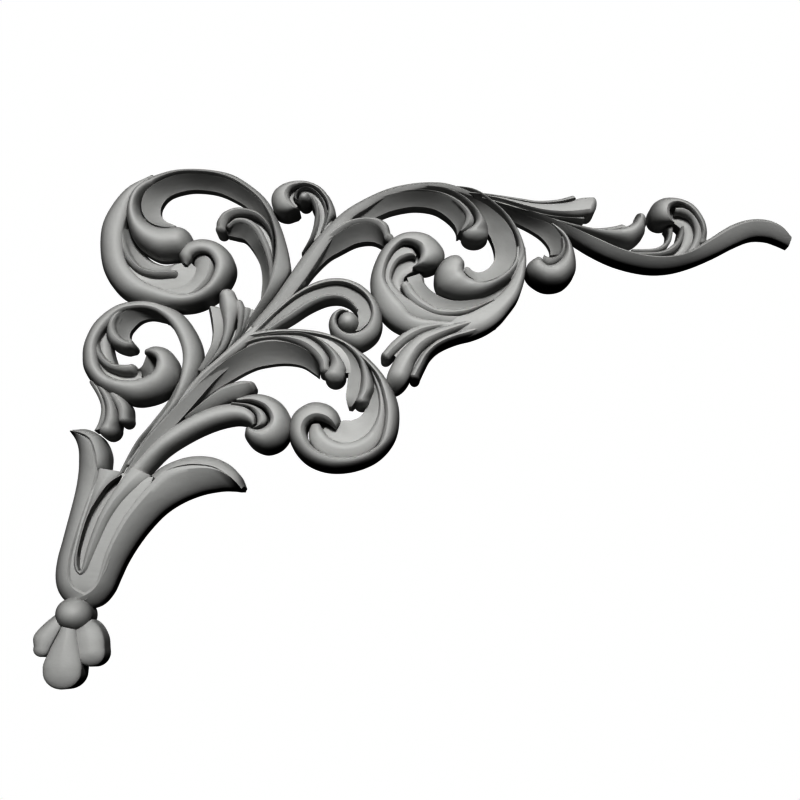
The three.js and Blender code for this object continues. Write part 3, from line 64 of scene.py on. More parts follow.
WHITE = (1.0, 1.0, 1.0, 1.0)


@dataclass(frozen=True)
class Edge:
    """One edge of a leaf's section.

    Args:
        height: height as a share of the crest's.
        swell: 1 is full and round up to the crest, 0 straight and -1 hollow.
    """

    height: float
    swell: float


@dataclass(frozen=True)
class Section:
    """Section of a leaf.

    Args:
        crest: place of the crest, from -1, the right edge, to 1, the left edge.
        left: the left edge.
        right: the right edge.
    """

    crest: float
    left: Edge
    right: Edge

    def height(self, across: np.ndarray, closing: float) -> np.ndarray:
        """Height as a share of the crest's.

        Args:
            across: places from -1 to 1.
            closing: how far the rung lies into a round end, from 0 to 1.

        Returns:
            One height for each place.
        """
        is_left = across >= self.crest
        away = np.abs(across - self.crest) / np.where(is_left, 1 - self.crest, 1 + self.crest)
        inward = 1 - np.sqrt(closing**2 + (1 - closing**2) * away**2)
        mean = (self.left.height + self.right.height) / 2
        low = np.where(is_left, self.left.height, self.right.height)
        low = low + (mean - low) * closing
        rise = np.where(is_left, swell(inward, self.left.swell), swell(inward, self.right.swell))
        return low + (1 - low) * rise


@dataclass(frozen=True)
class End:
    """Round end of a leaf.

    Args:
        reach: how far it reaches, as a share of the leaf's half width.
        fall: how much lower it gets there, as a share.
    """

    reach: float
    fall: float


DOME = End(1, 0.1)
BLUNT = End(0.9, 0)
TIP = End(1.5, 0.1)
NIPPED = End(0.4, 0)
SLOPED = End(1.2, 0.6)
SUNK = End(0.9, 0.6)


@dataclass(frozen=True)
class Leaf:
    """One swept leaf, strand or roll.

    Args:
        section: its section.
        rungs: left x, left z, right x, right z and height, in squares and steps.
        end: its round end, or None where it is cut.
        start: its round start, which sinks into the wood, or None where it is cut.
    """

    section: Section
    rungs: Sequence[Sequence[float]]
    end: Optional[End] = None
    start: Optional[End] = SUNK


def swell(share: np.ndarray, fullness: float) -> np.ndarray:
    """Rise of a section from its edge to its crest.

    Args:
        share: 0 at the edge and 1 at the crest.
        fullness: 1 is full, 0 straight and -1 hollow.

    Returns:
        The rise at each share.
    """
    full = np.sqrt(1 - (1 - share) ** 2)
    hollow = 1 - np.cos(share * math.pi / 2)
    return share + (fullness * (full - share) if fullness >= 0 else -fullness * (hollow - share))


def leaf(section: Section, rungs: Sequence[Sequence[float]], end: Optional[End] = None,
         start: Optional[End] = SUNK, **changes: Union[float, Edge]) -> Leaf:
    """A leaf whose section differs a little from a named one.

    Args:
        section: the named section.
        rungs: its rungs.
        end: its round end, or None.
        start: its round start, or None.
        changes: fields of the section that differ.

    Returns:
        The leaf.
    """
    return Leaf(replace(section, **changes), rungs, end, start)


ROLL = Section(0, Edge(0.42, 1), Edge(0.42, 1))
RIDGE = Section(0, Edge(0.82, 0.8), Edge(0.82, 0.8))
FLAT = Section(0, Edge(0.93, 0.6), Edge(0.93, 0.6))
FALLS_LEFT = Section(-0.9, Edge(0.42, -0.4), Edge(0.92, 0.8))
FALLS_RIGHT = Section(0.9, Edge(0.92, 0.8), Edge(0.42, -0.4))
LEANS_LEFT = Section(-0.45, Edge(0.6, 0.6), Edge(0.68, 0.9))
LEANS_RIGHT = Section(0.45, Edge(0.68, 0.9), Edge(0.6, 0.6))
TROUGH = Section(0, Edge(1.3, 0.9), Edge(1.3, 0.9))


@dataclass(frozen=True)
class Dome:
    """A round boss.

    Args:
        x: its middle, in squares.
        z: its middle, in squares.
        half_width: in squares.
        half_height: in squares.
        relief: height of its top, in steps.
    """

    x: float
    z: float
    half_width: float
    half_height: float
    relief: float


class Joint(Enum):
    """Ways to bring two closed meshes together."""

    JOINED = "UNION"
    CUT_AWAY = "DIFFERENCE"


@dataclass
class CarvingTool:
    """Turns drawn leaves into closed meshes, and joins them.

    Args:
        along: spacing of the rungs along a leaf, in squares.
        across: spacing of the points across a leaf, in squares.
        most_across: most points on each side of a crest.
        sawn_allowance: how far a leaf reaches behind the back, in steps, before the back is planed.
        thinnest: least width of a leaf, in squares.
        end_steps: rungs in a round end.
        end_turn: how far a round end turns in to its last rung.
    """

    along: float = 1.3
    across: float = 0.85
    most_across: int = 12
    sawn_allowance: float = 4.0
    thinnest: float = 0.4
    end_steps: int = 9
    end_turn: float = math.radians(86)

    @staticmethod
    def carried(x: np.ndarray, z: np.ndarray, height: np.ndarray) -> np.ndarray:
        """Real places of drawn points.

        Args:
            x: drawn places to the right, in squares.
            z: drawn places up, in squares.
            height: heights above the back, in steps.

        Returns:
            One row for each point: x and z.
        """
        share = (EYE_HEIGHT - height) / (EYE_HEIGHT - DRAWING_PLANE)
        return np.column_stack([EYE_X + (x - EYE_X) * share, EYE_Z + (z - EYE_Z) * share])

    @staticmethod
    def smooth(points: np.ndarray, shares: np.ndarray) -> np.ndarray:
        """Places on a smooth curve through points.

        Args:
            points: one row for each point.
            shares: places on the curve, from 0 to the number of points less 1.

        Returns:
            One row for each share.
        """
        padded = np.vstack([2 * points[0] - points[1], points, 2 * points[-1] - points[-2]])
        start = np.minimum(shares.astype(int), len(points) - 2)
        t = (shares - start)[:, None]
        a, b, c, d = (padded[start + i] for i in range(4))
        leave, arrive = (c - a) / 2, (d - b) / 2
        bend = 3 * (c - b) - 2 * leave - arrive
        twist = 2 * (b - c) + leave + arrive
        return b + leave * t + bend * t**2 + twist * t**3

    def rails(self, item: Leaf) -> tuple[np.ndarray, np.ndarray]:
        """Both edges of a leaf.

        Args:
            item: the leaf.

        Returns:
            Left and right edge. Each row has x, z, the crest's height and how far it lies in a round end.
        """
        drawn = np.array(item.rungs, float)
        height = drawn[:, 4]
        edges = []
        for column, edge in ((0, item.section.left), (2, item.section.right)):
            place = self.carried(drawn[:, column], drawn[:, column + 1], height * edge.height)
            edges.append(np.column_stack([place, height]))
        left, right = edges
        shares: list[float] = []
        for i in range(len(drawn) - 1):
            reach = max(np.hypot(*(edge[i + 1] - edge[i])[:2]) for edge in edges)
            parts = max(2, math.ceil(reach / self.along))
            shares.extend(i + j / parts for j in range(parts))
        shares.append(len(drawn) - 1)
        places = np.array(shares)
        whole = np.zeros((len(places), 1))
        left = np.hstack([self.smooth(left, places), whole])
        right = np.hstack([self.smooth(right, places), whole])
        if item.end:
            left, right = self.rounded(left, right, item.end)
        if item.start:
            left, right = self.rounded(left[::-1], right[::-1], item.start)
            left, right = left[::-1], right[::-1]
        return left, right

    def rounded(self, left: np.ndarray, right: np.ndarray, end: End) -> tuple[np.ndarray, np.ndarray]:
        """Rails with a round end added.

        Args:
            left: left rail.
            right: right rail.
            end: the round end.

        Returns:
            Both rails with the end's rungs.
        """
        middle, half = (left[-1] + right[-1]) / 2, (left[-1] - right[-1]) / 2
        width = np.hypot(half[0], half[1])
        ahead = np.array([half[1], -half[0]]) / max(width, NOTHING)
        travel = middle - (left[-2] + right[-2]) / 2
        if ahead @ travel[:2] < 0:
            ahead = -ahead
        turns = np.linspace(0, self.end_turn, self.end_steps + 1)[1:]
        centre = np.column_stack([
            middle[0] + ahead[0] * width * end.reach * np.sin(turns),
            middle[1] + ahead[1] * width * end.reach * np.sin(turns),
            middle[2] * (1 - end.fall * (1 - np.cos(turns))),
            np.sin(turns),
        ])
        side = np.column_stack([np.outer(np.cos(turns), half[:2]), np.zeros((len(turns), 2))])
        return np.vstack([left, centre + side]), np.vstack([right, centre - side])

    def places(self, section: Section, width: float) -> np.ndarray:
        """Places across a leaf, closer together by its edges.

        Args:
            section: the leaf's section.
            width: its greatest width, in squares.

        Returns:
            Places from -1 to 1, with the crest among them.
        """
        def side(share: float) -> np.ndarray:
            """Places from an edge, 0, to the crest, 1."""
            count = int(np.clip(math.ceil(width * share / self.across), 2, self.most_across))
            return 1 - np.cos(np.linspace(0, math.pi / 2, count + 1))

        right = -1 + side((section.crest + 1) / 2) * (section.crest + 1)
        left = 1 - side((1 - section.crest) / 2)[::-1] * (1 - section.crest)
        return np.concatenate([right, left[1:]])

    def loft(self, item: Leaf) -> bpy.types.Object:
        """Closed mesh of a leaf.

        Args:
            item: the leaf.

        Returns:
            An object in metres.
        """
        left, right = self.rails(item)
        middle, half = (left + right) / 2, (left - right) / 2
        width = np.hypot(half[:, 0], half[:, 1])
        grow = np.maximum(1, self.thinnest / 2 / np.maximum(width, NOTHING))
        places = self.places(item.section, 2 * width.max())
        heights = np.array([item.section.height(places, closing) for closing in middle[:, 3]])
        ring = len(places) + 2
        across = np.concatenate([[-1], places, [1]])
        points = np.empty((len(middle), ring, 3))
        for axis, column in ((0, 0), (2, 1)):
            place = middle[:, column, None] + np.outer(half[:, column] * grow, across)
            points[:, :, axis] = place * SQUARE
        points[:, 1:-1, 1] = -middle[:, 2, None] * heights * STEP
        points[:, (0, -1), 1] = self.sawn_allowance * STEP
        return self.closed(points.reshape(-1, 3), len(middle), ring)

    @staticmethod
    def closed(points: np.ndarray, rings: int, ring: int, apex: bool = False) -> bpy.types.Object:
        """Closed mesh through rings of points.

        Args:
            points: the points, ring after ring.
            rings: number of rings.
            ring: points in a ring.
            apex: True where two more points close the first and the last ring.

        Returns:
            An object whose faces point out.
        """
        row = np.arange(ring)
        turn = (row + 1) % ring
        faces: list[tuple[int, ...]] = []
        for i in range(rings - 1):
            base = i * ring
            faces.extend(zip(base + row, base + turn, base + ring + turn, base + ring + row))
        last = (rings - 1) * ring
        if apex:
            bottom, top = rings * ring, rings * ring + 1
            faces.extend((int(j), bottom, int(k)) for j, k in zip(row, turn))
            faces.extend((last + int(j), last + int(k), top) for j, k in zip(row, turn))
        else:
            faces.append(tuple(row[::-1]))
            faces.append(tuple(last + row))
        mesh = bpy.data.meshes.new("leaf")
        mesh.from_pydata(points.tolist(), [], [tuple(int(k) for k in face) for face in faces])
        mesh.update()
        # The faces point in where these corners add up to less than nothing
        corners = np.array([points[list(face[:3])] for face in faces[: ring * (rings - 1)]])
        corners = corners - points.mean(axis=0)
        outward = np.einsum("ij,ij->i", corners[:, 0], np.cross(corners[:, 1], corners[:, 2])).sum()
        if outward < 0:
            mesh.flip_normals()
        made = bpy.data.objects.new("leaf", mesh)
        bpy.context.scene.collection.objects.link(made)
        return made

    def dome(self, boss: Dome, seat: float = 0.55, rings: int = 14, sides: int = 56) -> bpy.types.Object:
        """Closed mesh of a round boss on a straight seat.

        Args:
            boss: the boss.
            seat: height of the seat as a share of the relief.
            rings: rings of points on the dome.
            sides: points round it.

        Returns:
            An object in metres.
        """
        around = np.linspace(0, 2 * math.pi, sides, endpoint=False)
        levels = [(0.0, -self.sawn_allowance)]
        levels += [(t, boss.relief * (seat + (1 - seat) * math.sin(t)))
                   for t in np.linspace(0, math.pi / 2, rings, endpoint=False)]
        rows = [np.column_stack([
            (boss.x + boss.half_width * math.cos(t) * np.cos(around)) * SQUARE,
            np.full(sides, -height * STEP),
            (boss.z + boss.half_height * math.cos(t) * np.sin(around)) * SQUARE,
        ]) for t, height in levels]
        ends = np.array([[boss.x * SQUARE, self.sawn_allowance * STEP, boss.z * SQUARE],
                         [boss.x * SQUARE, -boss.relief * STEP, boss.z * SQUARE]])
        return self.closed(np.vstack(rows + [ends]), len(levels), sides, apex=True)

    @staticmethod
    def combine(kept: bpy.types.Object, other: bpy.types.Object, joint: Joint) -> bpy.types.Object:
        """Joins or cuts two closed meshes.

        Args:
            kept: the object that is kept.
            other: the object that is used up.
            joint: how the two come together.

        Returns:
            The kept object, with its new mesh.
        """
        step = kept.modifiers.new("step", "BOOLEAN")
        step.operation, step.solver, step.object = joint.value, "MANIFOLD", other
        view = bpy.context.evaluated_depsgraph_get()
        mesh = bpy.data.meshes.new_from_object(kept.evaluated_get(view))
        kept.modifiers.clear()
        old, kept.data = kept.data, mesh
        bpy.data.meshes.remove(old)
        bpy.data.meshes.remove(other.data)
        return kept

    def joined(self, parts: list[bpy.types.Object]) -> bpy.types.Object:
        """Joins closed meshes two by two until one is left.

        Args:
            parts: the objects.

        Returns:
            One object.
        """
        while len(parts) > 1:
            pairs = [self.combine(a, b, Joint.JOINED) for a, b in zip(parts[::2], parts[1::2])]
            parts = pairs + ([parts[-1]] if len(parts) % 2 else [])
        return parts[0]


@dataclass
class CarvedGroup:
    """Leaves that are carved together."""

    leaves: tuple[Leaf, ...] = ()

    def solid(self, tool: CarvingTool) -> bpy.types.Object:
        """One closed mesh of the group's leaves.

        Args:
            tool: makes the meshes.

        Returns:
            The joined object.
        """
        return tool.joined([tool.loft(item) for item in self.leaves])


@dataclass
class UpperScroll(CarvedGroup):
    """The tall stem on the left that curls over, with the leaf wrapped round it."""

    leaves: tuple[Leaf, ...] = (
        leaf(LEANS_RIGHT, (
            (-3, 5, 2, 5, 15), (5, 15.5, 12, 19, 16), (11.5, 27, 19, 29, 17), (14.2, 36, 24, 38, 17),
            (16.3, 46, 23.6, 46, 17), (16.3, 56, 21.3, 56, 17), (13.5, 66, 17.3, 66.5, 17),
            (8.5, 74, 12.5, 75, 17), (2, 80, 6, 81.5, 17), (-6, 85, -4, 88.2, 17),
            (-15, 88, -13, 90.8, 17), (-25, 89, -25, 91.9, 17), (-33, 88.6, -36, 91.2, 16.5),
            (-40, 86.5, -45, 88.6, 16), (-46, 83, -51, 86, 15), (-52, 77, -56.5, 80.5, 13),
            (-55, 70, -60, 73, 11),
        )),
        leaf(FALLS_LEFT, (
            (14.6, 56, 16.8, 56, 12), (11, 63, 15.4, 64, 14), (4.5, 70, 10.4, 73.5, 16),
            (-3, 75.3, 1.2, 81.5, 16.5), (-13, 79.8, -10, 87.4, 16.5), (-24, 81.2, -25, 89.6, 16.5),
            (-32, 80, -36, 88.6, 16), (-38, 77.3, -45.5, 84.3, 15), (-41.5, 72.5, -51, 78.7, 14),
            (-41.8, 68, -52, 71, 13), (-39.5, 64.8, -48.5, 64.6, 12.5), (-36, 63.2, -42, 61.6, 12),
            (-34, 62.2, -35.5, 61, 12),
        )),
        leaf(ROLL, (
            (-37, 84.5, -38, 87, 9), (-43.5, 82.5, -47.5, 86, 15), (-49.5, 78, -55.5, 79.5, 19),
            (-52, 72.5, -58.7, 69, 21), (-50.5, 66.5, -57, 58.5, 22), (-45.5, 62, -52, 50.5, 22),
            (-39.5, 60.5, -42.5, 44.8, 22), (-33, 61, -33, 45, 22),
        ), DOME),
        leaf(LEANS_LEFT, (
            (-46, 87, -47, 88, 12), (-55, 79.5, -60, 80.5, 15), (-59, 68, -69.5, 67, 16),
            (-61, 56, -72, 54, 17), (-59, 44, -69.5, 38, 17.5), (-52, 35, -61, 26, 18),
            (-42, 30, -48, 20.3, 18.5), (-32, 27, -36, 17.8, 19), (-24, 27.5, -22, 18.8, 20),
            (-18, 31.5, -10.5, 25.5, 21), (-14.7, 37, -3.8, 36, 21.5), (-14, 42.5, -4.5, 45, 21.5),
            (-17, 47.3, -11, 52, 21), (-21.5, 48.3, -20, 54.5, 20.5), (-25, 46.7, -28.5, 52, 19.5),
            (-26, 44.5, -32.3, 46.7, 18.5), (-27.5, 41.5, -30, 41.5, 16),
        ), crest=0.4, left=Edge(0.85, 0.8), right=Edge(0.4, 1)),
        leaf(FLAT, (
            (-56, 44, -58, 36, 12), (-50, 38, -52, 31, 12.5), (-40, 37, -42, 28, 12.5),
            (-34, 42, -30, 28, 13), (-30, 43, -23, 33, 13), (-27, 44, -22, 39, 13),
        )),
        leaf(LEANS_LEFT, (
            (-44, 30, -44, 24, 14), (-34, 30.2, -34, 22, 15.5), (-27.5, 33.5, -24, 24, 16),
            (-24.7, 37.5, -16.5, 31, 16.5), (-24.3, 41, -13.5, 38, 16.5), (-24.5, 44, -13.8, 44, 16),
            (-25, 46, -18, 48.5, 15),
        )),
        leaf(ROLL, (
            (-59, 71, -59.4, 71, 12), (-59.5, 62, -62, 60, 14.5), (-58.5, 53.5, -61.8, 51, 15.5),
            (-55.5, 46, -59, 43, 16), (-50, 40.5, -53, 36.5, 16.5), (-43, 38.8, -45, 33.2, 17),
            (-34, 39, -34, 33, 17),
        ), DOME, crest=0.3, left=Edge(0.75, 0.7)),
        leaf(FALLS_LEFT, (
            (-55, 60, -60, 60, 14), (-52, 51.5, -59, 49, 14), (-47, 45, -54, 41, 14),
            (-43, 42.5, -47, 37, 14), (-38, 41.5, -40, 37, 14), (-32, 43, -33, 38, 14),
        )),
    )


@dataclass
class InnerLeaf(CarvedGroup):
    """Small leaf inside the tall stem's curve."""

    leaves: tuple[Leaf, ...] = (
        leaf(FLAT, (
            (12, 38, 15.5, 38, 11), (10, 49, 16, 49, 12), (6, 56, 13.5, 60, 12), (1, 60.5, 5, 67, 12),
            (-5, 61, -5, 68, 12),
        )),
        leaf(FALLS_LEFT, (
            (9.5, 22, 13, 25, 12), (10.3, 32, 14.2, 33, 14.5), (9.8, 39, 13.2, 41, 15.5),
            (7.7, 45.5, 11.6, 47, 16), (4.5, 51, 9.2, 52.8, 16.5), (1, 55, 6, 59.5, 16.5),
            (-3, 56.2, 1, 63, 16.5), (-7.5, 57.2, -5, 63.2, 16),
        ), NIPPED, left=Edge(0.52, -0.3)),
        leaf(ROLL, (
            (13.6, 32, 15, 33, 14), (13.4, 40, 15.7, 41, 16), (11.3, 48, 14.6, 48.5, 17),
            (8.3, 55, 12, 55.5, 17.5), (4.7, 60.4, 8.5, 61.5, 18), (0.5, 63.2, 3, 65.8, 18),
            (-3.5, 63.3, -3.5, 66.3, 17.5), (-6.3, 61, -8, 62.8, 16),
        ), DOME, left=Edge(0.88, 0.6), right=Edge(0.85, 0.6)),
        leaf(ROLL, (
            (15, 40, 16, 40, 14), (15.3, 48, 16.3, 49, 16), (14.5, 56, 15.6, 57.5, 17.5),
            (11.5, 62, 13.2, 63.5, 18.5), (7, 66, 8.5, 68.3, 19.5), (2, 67.6, 2.5, 70.6, 20),
            (-3, 67.5, -3.8, 71, 20), (-6.7, 65.5, -10, 68.4, 19.5), (-8.4, 62, -12.9, 64.2, 19),
            (-8.6, 59.6, -13.3, 61, 18.5),
        ), BLUNT, left=Edge(0.82, 0.6), right=Edge(0.6, 0.9)),
    )


@dataclass
class LowerScroll(CarvedGroup):
    """The stem that rises from the calyx and curls round to the left."""

    leaves: tuple[Leaf, ...] = (
        leaf(ROLL, (
            (-56, -60, -52, -61, 13), (-44.5, -43, -40, -44, 14.5), (-34.5, -28.5, -28, -29.5, 16),
            (-30.5, -17, -21, -16.5, 17), (-29, -6, -18.8, -5, 17), (-31, 3, -22, 6, 17),
            (-36, 11.5, -29.5, 16, 17), (-43, 17, -41, 21.8, 17), (-51, 18.8, -52, 22.6, 17),
            (-60, 17, -63, 20, 17), (-67, 10.5, -73, 12, 17.5), (-71.5, 3, -78, 2, 18),
            (-72, -4, -79, -6, 18.5), (-70, -11.5, -77.5, -13.5, 19), (-64, -16.3, -71, -22, 20),
            (-55, -17.6, -60, -27.5, 21), (-48, -15.8, -50, -30, 22), (-43.5, -12.5, -38, -26.5, 23),
            (-42.3, -8, -30.3, -18, 23), (-42.8, -6, -31, -9, 22.5), (-44.3, -4.7, -35.5, -2.7, 21),
            (-46.3, -4, -41.5, -0.8, 18), (-48, -4.2, -46.5, -2, 14),
        ), crest=0.4, left=Edge(0.8, 0.8), right=Edge(0.42, 1)),
        leaf(FALLS_RIGHT, (
            (-52, -12.5, -52, -17.5, 12), (-49.5, -10.5, -44, -15, 12), (-48, -7, -41, -9.5, 12),
            (-47.3, -4.5, -42, -5, 12), (-47.3, -3, -44.5, -2.5, 12),
        )),
        leaf(FALLS_LEFT, (
            (-38, 12.5, -36, 16, 14), (-45, 13.9, -45, 19.5, 14.5), (-50.5, 12.5, -52, 20.3, 15),
            (-55, 8, -61, 16.5, 15), (-56, 5, -64, 10, 15), (-55.5, 3.5, -63, 3.5, 14.5),
            (-54.5, 2.5, -58, 0.5, 14),
        )),
        leaf(ROLL, (
            (-52, 19.3, -53, 20.6, 14), (-59, 16.6, -62, 17.6, 16), (-62.6, 12, -66.6, 11, 17.5),
            (-62.3, 7.5, -67, 3.5, 18), (-60, 4.3, -63.5, -1.5, 18.5), (-57, 2.4, -57.5, -4, 18),
            (-55, 2, -54.2, -3.6, 17),
        ), DOME, crest=0.35, left=Edge(0.75, 0.9), right=Edge(0.4, 1)),
        leaf(ROLL, (
            (-70.5, 8, -71.5, 7, 14), (-70.8, 0, -73, -2, 15.5), (-68, -5.7, -71.3, -8, 16.5),
            (-63, -9.2, -66.7, -13, 17), (-57, -9.8, -59, -16, 18), (-54.5, -9.3, -53.5, -16.3, 18),
        ), DOME, crest=0.35, left=Edge(0.75, 0.9), right=Edge(0.4, 1)),
        leaf(TROUGH, (
            (-60, 14, -68, 14, 10), (-65.3, 5, -72, 7, 10), (-65.3, -1, -72, -1.5, 10),
            (-63, -8, -71, -9, 10), (-61, -11, -68, -15, 10), (-55, -12, -57, -20, 10),
            (-50, -12, -50, -18, 10),
        )),
    )


@dataclass
class Lobes(CarvedGroup):
    """Lobes that hang below the lower scroll."""

    leaves: tuple[Leaf, ...] = (
        leaf(FLAT, (
            (-60, -20, -74, -18.5, 11), (-57, -27, -69, -29, 12), (-58.5, -34, -69, -38, 12),
            (-59.5, -38.5, -69, -42, 12),
        )),
        leaf(RIDGE, (
            (-72, -18, -75.5, -18.5, 14), (-68.3, -25, -71, -26, 15), (-66.3, -32, -69.2, -32, 15.5),
            (-66.5, -38, -70.2, -38.5, 15.5), (-68, -42.5, -72.3, -43, 14.5),
        )),
        leaf(ROLL, (
            (-68, -20, -72.5, -20, 15), (-63, -26, -68.7, -26.5, 18), (-60.3, -32, -67, -32.5, 19),
            (-59.3, -38, -67.7, -38.5, 20), (-59.6, -42, -70, -42.5, 20),
        ), DOME, left=Edge(0.5, 1), right=Edge(0.7, 0.9)),
        leaf(ROLL, (
            (-62, -22, -67, -22.5, 15), (-57, -27, -63.5, -28, 17.5), (-54, -31.5, -61, -33, 18.5),
            (-53.5, -37, -60.3, -38.2, 19),
        ), DOME, left=Edge(0.5, 1), right=Edge(0.75, 0.9)),
    )


@dataclass
class Stems(CarvedGroup):
    """The bundle of stems that runs up from the calyx to the heart."""

    leaves: tuple[Leaf, ...] = (
        leaf(FLAT, (
            (-59, -66, -48, -65, 11), (-57, -61.5, -48, -61, 11), (-41, -41.5, -33, -42, 12),
            (-29, -26, -22, -28, 12), (-19, -12, -12, -17, 12), (-11, -1, -3, -7, 12),
            (-3, 8, 7, 2, 12), (4, 14, 12, 9, 11), (11, 24, 17, 20, 10),
        )),
        leaf(ROLL, (
            (-60, -66.5, -57, -67.5, 12), (-51.5, -50, -48.5, -51.5, 14.5),
            (-43.8, -40, -40.5, -41.5, 15), (-36, -29.5, -33, -31, 15), (-30.6, -19, -28, -20, 15),
            (-27.5, -12, -25, -13, 12),
        )),
        leaf(RIDGE, (
            (-58, -67, -52, -67, 14), (-47.5, -48.5, -39, -48.5, 17), (-38.5, -37.5, -30, -38, 17.5),
            (-28, -26, -21.5, -28, 17.5), (-18, -15.5, -13, -18, 17), (-8, -6.5, -4, -9.5, 15.5),
            (1, 1, 4, -1.5, 12),
        ), crest=0.6, right=Edge(0.8, 0)),
        leaf(RIDGE, (
            (-33, -30, -30, -32, 14), (-22, -16, -19, -18.5, 16.5), (-12, -6.5, -8.5, -9, 17),
            (-3, 2, 1, -1.5, 16.5), (5, 9, 9, 6, 15), (11, 14.5, 13.5, 12.5, 12),
        )),
    )


@dataclass
class FanLeaf(CarvedGroup):
    """Small fan of leaves at the heart of the stems."""

    leaves: tuple[Leaf, ...] = (
        leaf(ROLL, (
            (-21, -14, -18.5, -12.5, 13), (-17, -6.5, -13, -4.5, 15), (-14.5, -1, -10.7, 0.5, 16),
            (-13.9, 5, -9, 6.5, 16.5), (-14.8, 11.5, -8.7, 12, 17), (-16, 17.7, -10.5, 19.3, 17),
        ), NIPPED, crest=0.5, left=Edge(0.25, 0.8), right=Edge(0.85, 0.5)),
        leaf(ROLL, (
            (-18, -12.5, -16, -11, 14), (-11.5, -2.5, -8.2, -2.5, 16.5), (-9.2, 5, -4.5, 5.5, 18),
            (-9.2, 12, -2.8, 12.5, 19), (-11, 20, -1.2, 20.5, 20), (-11.4, 25, -3.3, 26, 20),
        ), BLUNT, crest=0.1, left=Edge(0.62, 0.9), right=Edge(0.8, 0.9)),
        leaf(RIDGE, (
            (-10, -6, -8, -6.5, 14), (-5.5, 0.5, -3.5, 0.5, 16), (-3, 5.5, -0.3, 6, 17),
            (-2, 12, 1, 12.5, 18), (-2.6, 17.5, 1.6, 18.5, 18.5), (-3.6, 21.5, 0.7, 22, 18),
        ), BLUNT),
        leaf(RIDGE, (
            (-5, -1, -3, -1, 14), (-0.5, 6, 1.5, 7.5, 15.5), (0.8, 12.5, 3.6, 13.5, 16.5),
            (1, 19.2, 5, 18.6, 16.5),
        ), NIPPED),
        leaf(FLAT, (
            (-2, 2, 0, 2.5, 12), (2, 8, 4.5, 12, 14), (3.5, 14, 7, 17, 15), (4, 18.8, 7.5, 18.4, 15),
        )),
    )


@dataclass
class MainLeaf(CarvedGroup):
    """The long leaf that sweeps over the top to the right."""

    leaves: tuple[Leaf, ...] = (
        leaf(LEANS_LEFT, (
            (5, 11, 10, 8, 14), (15, 23, 20, 19, 16), (24.5, 37, 31, 33, 17.5), (30, 45.4, 37, 42, 18),
            (36, 53.6, 43, 51.5, 18), (42, 60.7, 48, 58.5, 18), (47, 65.7, 53, 63.5, 18),
            (53, 70.7, 57.5, 67.8, 18.5), (60, 75, 64, 71.8, 18.5), (68, 79, 70.5, 76, 19),
            (76, 82, 77.5, 79, 19), (86, 84, 87, 81.2, 19), (95, 84.6, 95, 82.4, 19),
            (103, 84.2, 102, 81.8, 18.5), (111, 82, 110, 79.9, 16.5), (118, 79.6, 117, 77.6, 13),
        ), crest=0, right=Edge(0.9, 0.4)),
        leaf(FALLS_RIGHT, (
            (31, 38, 29, 27, 14), (36, 46, 36, 37, 16), (42, 53.5, 43.5, 45, 17),
            (48, 58, 50, 49, 17.5), (56, 62.5, 57, 52.7, 18), (62, 63.9, 63, 54, 18),
            (67.5, 62.5, 67.5, 53.5, 17.5), (72.5, 57, 71.8, 51.2, 17),
        ), right=Edge(0.5, -0.3)),
        leaf(ROLL, (
            (37, 50.6, 37.6, 48.5, 16), (46, 59.5, 46.3, 56, 18), (54, 64.4, 54.5, 61.6, 19),
            (62, 66, 62, 63.3, 19.5), (69, 65.5, 67.8, 62, 19.5), (73.7, 62.5, 70.8, 58.8, 19.5),
            (75.3, 57.7, 72, 55, 19),
        ), TIP, left=Edge(0.6, 0.9), right=Edge(0.85, 0.6)),
        leaf(FALLS_RIGHT, (
            (58, 70, 55, 58, 14), (66, 75, 64, 64.5, 17), (74, 78.5, 74, 69.5, 18.5),
            (84, 80.2, 84, 72, 19.5), (92, 80.1, 91, 72.2, 20), (99, 79, 97.5, 70.9, 20),
            (105, 76.5, 102.5, 68, 20), (110, 72.5, 106.3, 64.5, 19.5), (113.2, 67.5, 108.5, 61, 19),
            (112.5, 62.5, 109, 58, 18), (110.2, 58.8, 108.8, 56.8, 17),
        ), right=Edge(0.56, -0.3)),
        leaf(ROLL, (
            (76, 79.4, 76, 78.4, 16), (84, 80.8, 84, 79.8, 19), (92, 81.3, 92, 80, 20.5),
            (101, 80, 100, 78.3, 21), (108, 77.2, 106, 75.4, 21.5), (113.5, 73, 110, 72.3, 22),
            (117, 68, 113.2, 68, 22), (117.7, 64.2, 113, 64.2, 21.5), (115.5, 60.8, 111.8, 62, 20),
            (111.5, 58.6, 110.5, 59.4, 18),
        ), left=Edge(0.88, 0.6), right=Edge(0.88, 0.6)),
        leaf(ROLL, (
            (86, 82, 86, 81, 16), (95, 81.8, 95, 80.8, 19), (103, 80.6, 102.5, 79.6, 20.5),
            (110, 77.9, 109, 76.6, 21.5), (116, 73.8, 114, 72.7, 22), (121, 68, 117.6, 68, 22.5),
            (124.2, 62.5, 117.8, 63, 22.5), (124.9, 58.3, 111.5, 58.3, 22),
        ), End(0.78, 0), left=Edge(0.55, 0.9), right=Edge(0.7, 0.8)),
    )


